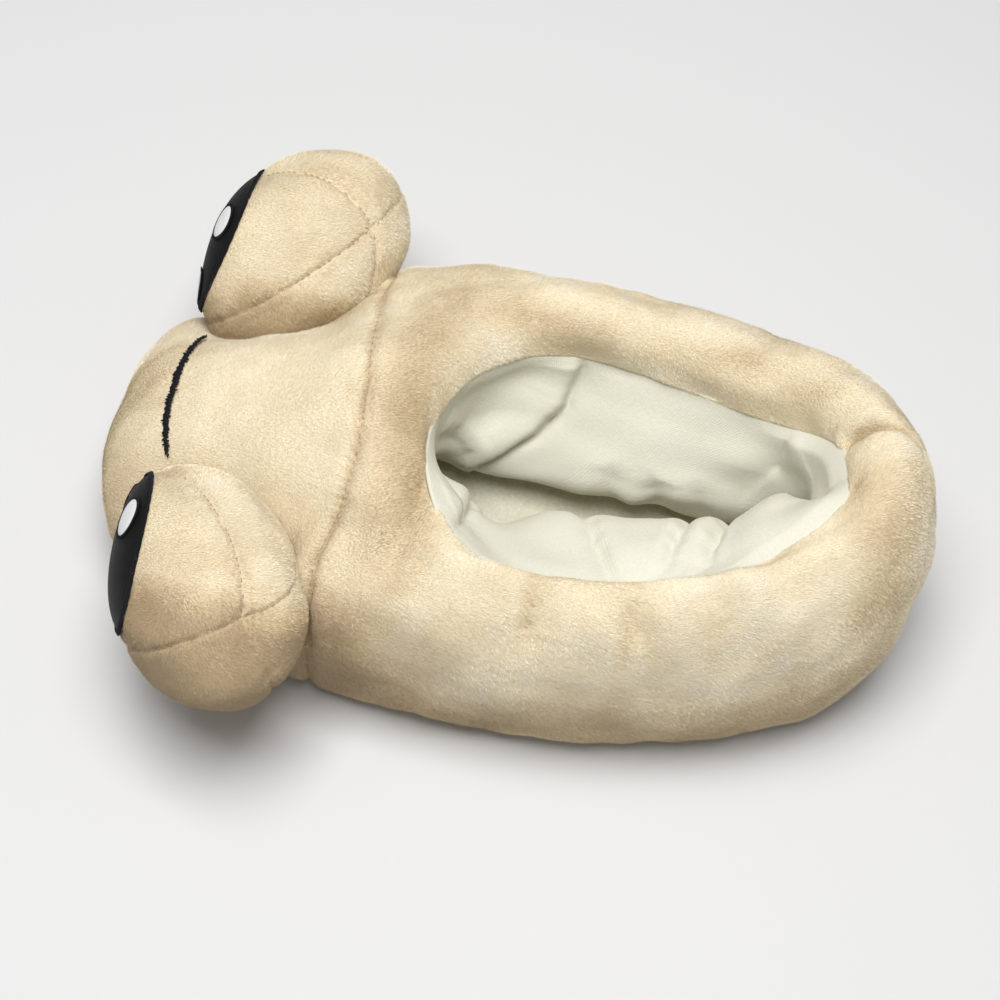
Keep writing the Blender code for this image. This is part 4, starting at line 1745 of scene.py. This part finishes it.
@dataclass
class StuffedEye:
    """One ball: four gores that meet in a puckered pole at the back, pile, and an embroidered patch."""

    form: EyeForm
    pile: PileMaker
    stitches: StitchMaker
    patch_lift: float = math.radians(15)
    around: int = 200
    rings: int = 96
    oval_around: int = 96
    oval_rings: int = 12
    groove_depth: float = 0.0008
    groove_width: float = 0.0011
    gore_swell: float = 0.0012
    gore_half: float = 0.014
    gore_turn: float = 0.9
    patch_calm: float = 0.9
    patch_slope: float = 0.03
    pole_depth: float = 0.0016
    pole_width: float = 0.0035
    pucker_reach: float = 0.004
    warm_start: float = 0.45
    warm_seam: float = 0.4
    warm_seam_width: float = 0.003
    warm_away: float = 2.3
    shade_rise: float = 0.6
    shade_length: float = 0.5
    parting: float = 0.9
    parting_width: float = 0.0008
    first_seed: int = 40
    stitch_pitch: float = 0.0027
    stitch_length: float = 0.0015
    stitch_thread: float = 0.0003
    stitch_sunk: float = 0.0007
    stitches_seen: float = 0.7
    cord_pitch: float = 0.00042
    cord_thread: float = 0.00055
    cord_uneven: tuple[float, float] = (0.08, 37)
    cord_step: float = 0.01
    dome_drop: float = 0.7
    dome_power: int = 6
    stitch_run: tuple[float, float] = (0.10, 2.4)

    @property
    def side(self) -> Side:
        """Which ball it is."""
        return self.form.side

    @property
    def gores(self) -> Gores:
        """How its gores lie."""
        return GORES[self.side]

    @property
    def name(self) -> str:
        """The ball's node name."""
        return "eye_" + self.side.name.lower()

    @property
    def patch_name(self) -> str:
        """The patch's node name."""
        return "eye_patch_" + self.side.name.lower()

    @property
    def radius(self) -> float:
        """The ball's mean radius, which arcs over it are measured by."""
        return (self.form.length + self.form.width) / 4

    def towards(self, away: np.ndarray, round_pole: np.ndarray) -> np.ndarray:
        """Unit vectors from the ball's centre.

        Args:
            away: angles from the rear pole.
            round_pole: angles round it.

        Returns:
            The vector for each pair of angles.
        """
        axis = np.array(self.gores.pole) / np.linalg.norm(self.gores.pole)
        first = unit(np.cross([0.0, 0.0, 1.0], axis))
        second = np.cross(axis, first)
        ring = np.cos(round_pole)[..., None] * first + np.sin(round_pole)[..., None] * second
        return np.cos(away)[..., None] * axis + np.sin(away)[..., None] * ring

    def build(self) -> None:
        """Makes the ball, its pile, its seam stitches and its patch."""
        away = (np.arange(self.rings) + 0.5) / self.rings * math.pi
        away, round_pole = np.meshgrid(away, full_turn(self.around), indexing="ij")
        directions = self.towards(away, round_pole)
        points = self.form.surface(directions)
        normals = grid_normals(points, False)
        if np.sum(normals * directions) < 0:
            normals = -normals
        turns = [math.radians(seam) + self.gores.twist * away for seam in self.gores.seams]
        gaps = [(round_pole - turn + math.pi) % (2 * math.pi) - math.pi for turn in turns]
        seam = self.radius * np.sin(away) * np.minimum(np.min(np.abs(gaps), axis=0), self.gore_turn)
        patch = self.under_patch(directions)
        move = self.moves(points, seam, away) * (1 - self.patch_calm * patch)
        points = points + normals * move[..., None]
        ball = self.close(points)
        ball.data.materials.append(SHARED[PLUSH.name])
        poles = len(ball.data.vertices) - points.reshape(-1, 3).shape[0]
        nap = np.concatenate([self.nap(points, normals), np.tile([1.0, 0, 0], (poles, 1))])
        set_attribute(ball.data, "nap", nap)
        # Painted shade on the ball, stored for the pile's tint and the ground's colour.
        warm = self.warmth(points, directions, seam)
        set_attribute(ball.data, "warm", np.concatenate([warm.ravel(), np.zeros(poles)]))
        place(ball, "plush", self.name)
        cover = (1 - self.parting * bell(seam, self.parting_width)) * (1 - patch)
        cover = np.concatenate([cover.ravel(), np.ones(poles)])
        place(self.pile.grow(ball, "pile_" + self.name, cover, self.first_seed + self.side.value), "plush")
        self.sew()
        for oval in (PATCH, *GLINTS):
            self.fill(oval)
            self.cord(oval)

    def moves(self, points: np.ndarray, seam: np.ndarray, away: np.ndarray) -> np.ndarray:
        """How far each point moves outwards for the seams, the gores' swell, the pole and uneven stuffing.

        Args:
            points: places on the ball.
            seam: how far each lies from the nearest gore seam.
            away: its angle from the rear pole.

        Returns:
            The move of each point along its normal.
        """
        move = -self.groove_depth * bell(seam, self.groove_width) * (1 + GROOVE_WAVE.over(points))
        move += self.gore_swell * (np.clip(seam / self.gore_half, 0, 1) - 0.5)
        move -= self.pole_depth * bell(away * self.radius, self.pole_width)
        move += np.exp(-seam / self.pucker_reach) * BALL_PUCKER.over(points, self.side.value)
        return move + BALL_STUFFING.over(points, self.side.value)

    def warmth(self, points: np.ndarray, directions: np.ndarray, seam: np.ndarray) -> np.ndarray:
        """How deep the pile's tone is: painted shade at the seams, and painted shade low down on the side that
        turns away from the light.

        Args:
            points: places on the ball.
            directions: the way to each from the ball's centre.
            seam: how far each lies from the nearest gore seam.

        Returns:
            The deeper tone of each point, painted shade included.
        """
        turned = directions[..., 1] - self.shade_rise * directions[..., 2] + BALL_SHADE_WAVE.over(points)
        shaded = fade(turned, self.gores.shade_from, self.gores.shade_from + self.shade_length)
        near_seam = self.warm_seam * np.exp(-seam / self.warm_seam_width)
        return self.warm_start + near_seam + self.warm_away * shaded

    def close(self, points: np.ndarray) -> bpy.types.Object:
        """A closed ball from its rings, with a point at each pole.

        Args:
            points: rings by places by 3.

        Returns:
            The ball.
        """
        rings, around = points.shape[:2]
        ends = np.array([points[0].mean(0), points[-1].mean(0)])
        faces = grid_faces(rings, around, False).tolist()
        first, last, top = rings * around, rings * around + 1, (rings - 1) * around
        for j in range(around):
            faces.append([first, (j + 1) % around, j])
            faces.append([last, top + j, top + (j + 1) % around])
        ball = make_object(self.name + "_ball", np.concatenate([points.reshape(-1, 3), ends]), faces)
        turn_outwards(ball)
        return ball

    @staticmethod
    def nap(points: np.ndarray, normals: np.ndarray) -> np.ndarray:
        """The way that a ball's pile lies: down and back.

        Args:
            points: places on the ball.
            normals: its normals there.

        Returns:
            The unit vector at each point, along the surface.
        """
        back, aside = (wave.over(points) for wave in BALL_NAP)
        return along_surface(np.stack([BALL_NAP_WAY + back, aside, np.full_like(back, BALL_NAP_WAY)], -1), normals)

    def under_patch(self, directions: np.ndarray) -> np.ndarray:
        """Where the patch covers the ball.

        Args:
            directions: unit vectors from the ball's centre.

        Returns:
            1 under the patch, 0 away from it, and a short slope between.
        """
        local = directions @ np.array(Matrix.Rotation(self.patch_lift, 3, "Y")).T
        arc = np.arccos(np.clip(local[..., 0], -1, 1)) * self.radius
        share = arc / np.maximum(np.hypot(local[..., 1], local[..., 2]), TINY)
        width, height = PATCH.size
        depth = np.hypot(local[..., 1] * share / (width / 2), local[..., 2] * share / (height / 2))
        return fade(depth, 1 + self.patch_slope, 1 - self.patch_slope)

    def on_patch(self, across: np.ndarray, up: np.ndarray, lift: float) -> np.ndarray:
        """Points above the patch.

        Args:
            across: arc distances from its middle, towards +Y.
            up: arc distances from its middle, upwards.
            lift: how far above the ball the points lie.

        Returns:
            The points.
        """
        turned, raised = across / self.radius, up / self.radius
        away = np.maximum(np.hypot(turned, raised), 1e-9)
        local = np.stack([np.cos(away), turned / away * np.sin(away), raised / away * np.sin(away)], -1)
        return self.form.surface(local @ np.array(Matrix.Rotation(-self.patch_lift, 3, "Y")).T, lift)

    def outwards(self, points: np.ndarray) -> np.ndarray:
        """The unit vector from the ball's centre to each point."""
        return unit(points - np.array(self.form.frame().translation))

    def middle(self, oval: Oval) -> tuple[float, float]:
        """Where an oval's middle lies on this ball, across towards +Y and up."""
        return self.side.value * oval.middle[0], oval.middle[1]

    def fill(self, oval: Oval) -> None:
        """Makes the thin domed fill of an oval; the patch's own replaces its solid.

        Args:
            oval: the oval.
        """
        rings, around = self.oval_rings, self.oval_around
        share = np.linspace(1 / rings, 1, rings)[:, None]
        angle = full_turn(around)[None, :]
        middle = self.middle(oval)
        across = middle[0] + oval.size[0] / 2 * share * np.cos(angle)
        up = middle[1] + oval.size[1] / 2 * share * np.sin(angle)
        low = self.on_patch(across, up, oval.lift)
        domed = oval.thickness * (1 - self.dome_drop * share**self.dome_power) * np.ones_like(angle)
        top = low + self.outwards(low) * domed[..., None]
        low_middle = self.on_patch(np.array([middle[0]]), np.array([middle[1]]), oval.lift)
        top_middle = low_middle + self.outwards(low_middle) * oval.thickness
        points = np.concatenate([top.reshape(-1, 3), low.reshape(-1, 3), top_middle, low_middle])
        quads = grid_faces(rings, around, False)
        count, edge = rings * around, (rings - 1) * around
        faces = quads.tolist() + (quads[:, ::-1] + count).tolist()
        for j in range(around):
            k = (j + 1) % around
            faces.append([2 * count, k, j])
            faces.append([2 * count + 1, count + j, count + k])
            faces.append([edge + j, edge + k, count + edge + k, count + edge + j])
        piece = make_object(self.patch_name + oval.name, points, faces)
        turn_outwards(piece)
        flat = np.stack([across, up], -1).reshape(-1, 2)
        flat = np.concatenate([flat, flat, [middle, middle]])
        threads = piece.data.uv_layers.new(name=THREAD_MAP)
        threads.data.foreach_set("uv", flat[corner_points(piece.data)].ravel())
        piece.data.materials.append(SHARED[oval.finish.name])
        nodes = (self.patch_name,) if oval is PATCH else ()
        place(piece, "black_thread", *nodes)

    def cord(self, oval: Oval) -> None:
        """Lays satin stitches across an oval's edge.

        Args:
            oval: the oval.
        """
        middle = self.middle(oval)
        wide, high = (size / 2 + oval.edge_out for size in oval.size)
        angle = full_turn(int(2 * math.pi * math.hypot(wide, high) / math.sqrt(2) / self.cord_pitch))
        places, ahead = (
            self.on_patch(middle[0] + wide * np.cos(at), middle[1] + high * np.sin(at), oval.edge_lift)
            for at in (angle, angle + self.cord_step)
        )
        normal = self.outwards(places)
        across = np.cross(normal, unit(ahead - places))
        uneven, waves = self.cord_uneven
        run = Stitches(places, across, normal, oval.edge_stitch * (1 + uneven * np.sin(waves * angle)))
        sewn = self.stitches.lay(self.patch_name + oval.edge_name, run, self.cord_thread, BLACK_STITCH)
        place(sewn, "black_thread")

    def sew(self) -> None:
        """Lays the small stitches down the four gore seams, where the pile lets them show."""
        parts = []
        for seam in self.gores.seams:
            away = np.arange(*self.stitch_run, self.stitch_pitch / self.radius)
            directions = self.towards(away, math.radians(seam) + self.gores.twist * away)
            run = self.form.surface(directions, -self.stitch_sunk)
            seen = np.random.default_rng(seam).random(len(away)) < self.stitches_seen
            keep = seen & (self.under_patch(directions) < 0.5)
            parts.append([run[keep], unit(np.gradient(run, axis=0))[keep], directions[keep]])
        places, along, normal = (np.concatenate(part) for part in zip(*parts))
        run = Stitches(places, along, normal, np.full(len(places), self.stitch_length))
        place(self.stitches.lay(self.name + "_stitches", run, self.stitch_thread, SEAM_STITCH), "plush")


# Mouth, sole and insole


@dataclass
class Mouth:
    """A line of black satin stitch across the muzzle, pointed at both ends."""

    form: SlipperForm
    stitches: StitchMaker
    length: float = 0.060
    up: float = 4.45
    width: float = 0.0027
    pitch: float = 0.00042
    thread: float = 0.0007
    lift: float = 0.0012
    half_step: float = 0.02
    point: float = 0.02
    uneven_width: float = 0.16
    uneven_place: float = 0.0003
    seed: int = 5

    def build(self) -> None:
        """Lays the stitches and replaces the mouth's solid."""
        share = np.linspace(-1, 1, int(self.length / self.pitch))
        across = np.abs(share) * self.length / self.form.ball_width
        angle = np.sign(share) * np.arcsin(across ** (self.form.squareness[0] / 2))
        heights = np.array([self.up - self.half_step, self.up, self.up + self.half_step])
        low, middle, high = self.form.surface(angle, heights)
        along, up = unit(np.gradient(middle, axis=0)), unit(high - low)
        normal = np.cross(along, up)
        normal *= np.sign(normal[:, :1] + normal[:, 2:])
        uneven = np.random.default_rng(self.seed).normal(size=(2, len(share)))
        full = np.sqrt(np.clip(1 - share**4, self.point, 1))
        size = self.width * full * (1 + self.uneven_width * uneven[0])
        places = middle + normal * self.lift + up * (self.uneven_place * uneven[1])[:, None]
        run = Stitches(places, up, normal, size)
        place(self.stitches.lay("mouth_stitches", run, self.thread, BLACK_STITCH), "black_thread", "mouth")


@dataclass
class Sole:
    """The cloth sole and the felt insole: solids whose shape is right, given their finishes."""

    nodes: dict[str, bpy.types.Object]

    def build(self) -> None:
        """Dresses both solids."""
        for name, finish in (("outsole", SOLE), ("insole", INSOLE)):
            mesh = self.nodes[name].data
            mesh.materials.clear()
            mesh.materials.append(SHARED[finish.name])
            LOG.info("%s dressed", name)


# The studio


@dataclass
class Studio:
    """A pale floor, a soft light over the slipper, and the camera at the photograph's angle."""

    camera_place: tuple[float, float, float] = (-0.0357, 0.4062, 0.7044)
    camera_x: tuple[float, float, float] = (-0.9823, -0.1679, 0.0836)
    aim: tuple[float, float, float] = (0.004, 0.004, 0.040)
    lens: float = 82.0
    sensor: float = 36.0
    lamp_place: tuple[float, float, float] = (0.05, 0.15, 1.29)
    lamp_size: float = 0.7
    lamp_power: float = 19.2
    sky_strength: float = 0.27
    floor_half: float = 3.0
    floor_drop: float = 0.0002

    def build(self) -> None:
        """Makes the floor, the light, the sky and the camera."""
        self.floor()
        self.lamp()
        world = bpy.data.worlds.new("studio")
        world.use_nodes = True
        sky = world.node_tree.nodes["Background"]
        sky.inputs["Color"].default_value = (1.0, 1.0, 1.0, 1)
        sky.inputs["Strength"].default_value = self.sky_strength
        bpy.context.scene.world = world
        bpy.context.scene.view_settings.view_transform = "Standard"
        self.camera()

    def floor(self) -> None:
        """A wide plain floor under the sole."""
        half, low = self.floor_half, -self.floor_drop
        corners = np.array([(-half, -half, low), (half, -half, low), (half, half, low), (-half, half, low)])
        floor = make_object("floor", corners, [(0, 1, 2, 3)])
        floor.data.materials.append(SHARED[FLOOR_PAINT.name])

    def lamp(self) -> None:
        """A soft square light that faces the slipper."""
        data = bpy.data.lights.new("key", "AREA")
        data.size = self.lamp_size
        data.energy = self.lamp_power
        lamp = bpy.data.objects.new("key", data)
        lamp.location = self.lamp_place
        lamp.rotation_euler = (Vector(self.aim) - Vector(self.lamp_place)).to_track_quat("-Z", "Y").to_euler()
        bpy.context.scene.collection.objects.link(lamp)

    def camera(self) -> None:
        """The camera: where the photograph's stood, turned to frame the one slipper."""
        data = bpy.data.cameras.new("camera")
        data.lens = self.lens
        data.sensor_width = self.sensor
        data.clip_start = 0.01
        back = (Vector(self.camera_place) - Vector(self.aim)).normalized()
        up = back.cross(Vector(self.camera_x)).normalized()
        turn = Matrix((up.cross(back), up, back)).transposed().to_4x4()
        camera = bpy.data.objects.new("camera", data)
        camera.matrix_world = Matrix.Translation(self.camera_place) @ turn
        bpy.context.scene.collection.objects.link(camera)
        bpy.context.scene.camera = camera


def main() -> None:
    """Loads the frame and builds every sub-assembly."""
    logging.basicConfig(level=logging.INFO, format="%(name)s: %(message)s")
    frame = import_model()
    make_finishes()
    Studio().build()
    form = SlipperForm()
    pile, stitches = PileMaker(), StitchMaker()
    pile.build()
    stitches.build()
    PaddedBody(form, pile, stitches).build()
    Lining(form).build()
    for eye in form.eyes:
        StuffedEye(eye, pile, stitches).build()
    Mouth(form, stitches).build()
    Sole(frame["nodes"]).build()


if __name__ == "__main__":
    main()
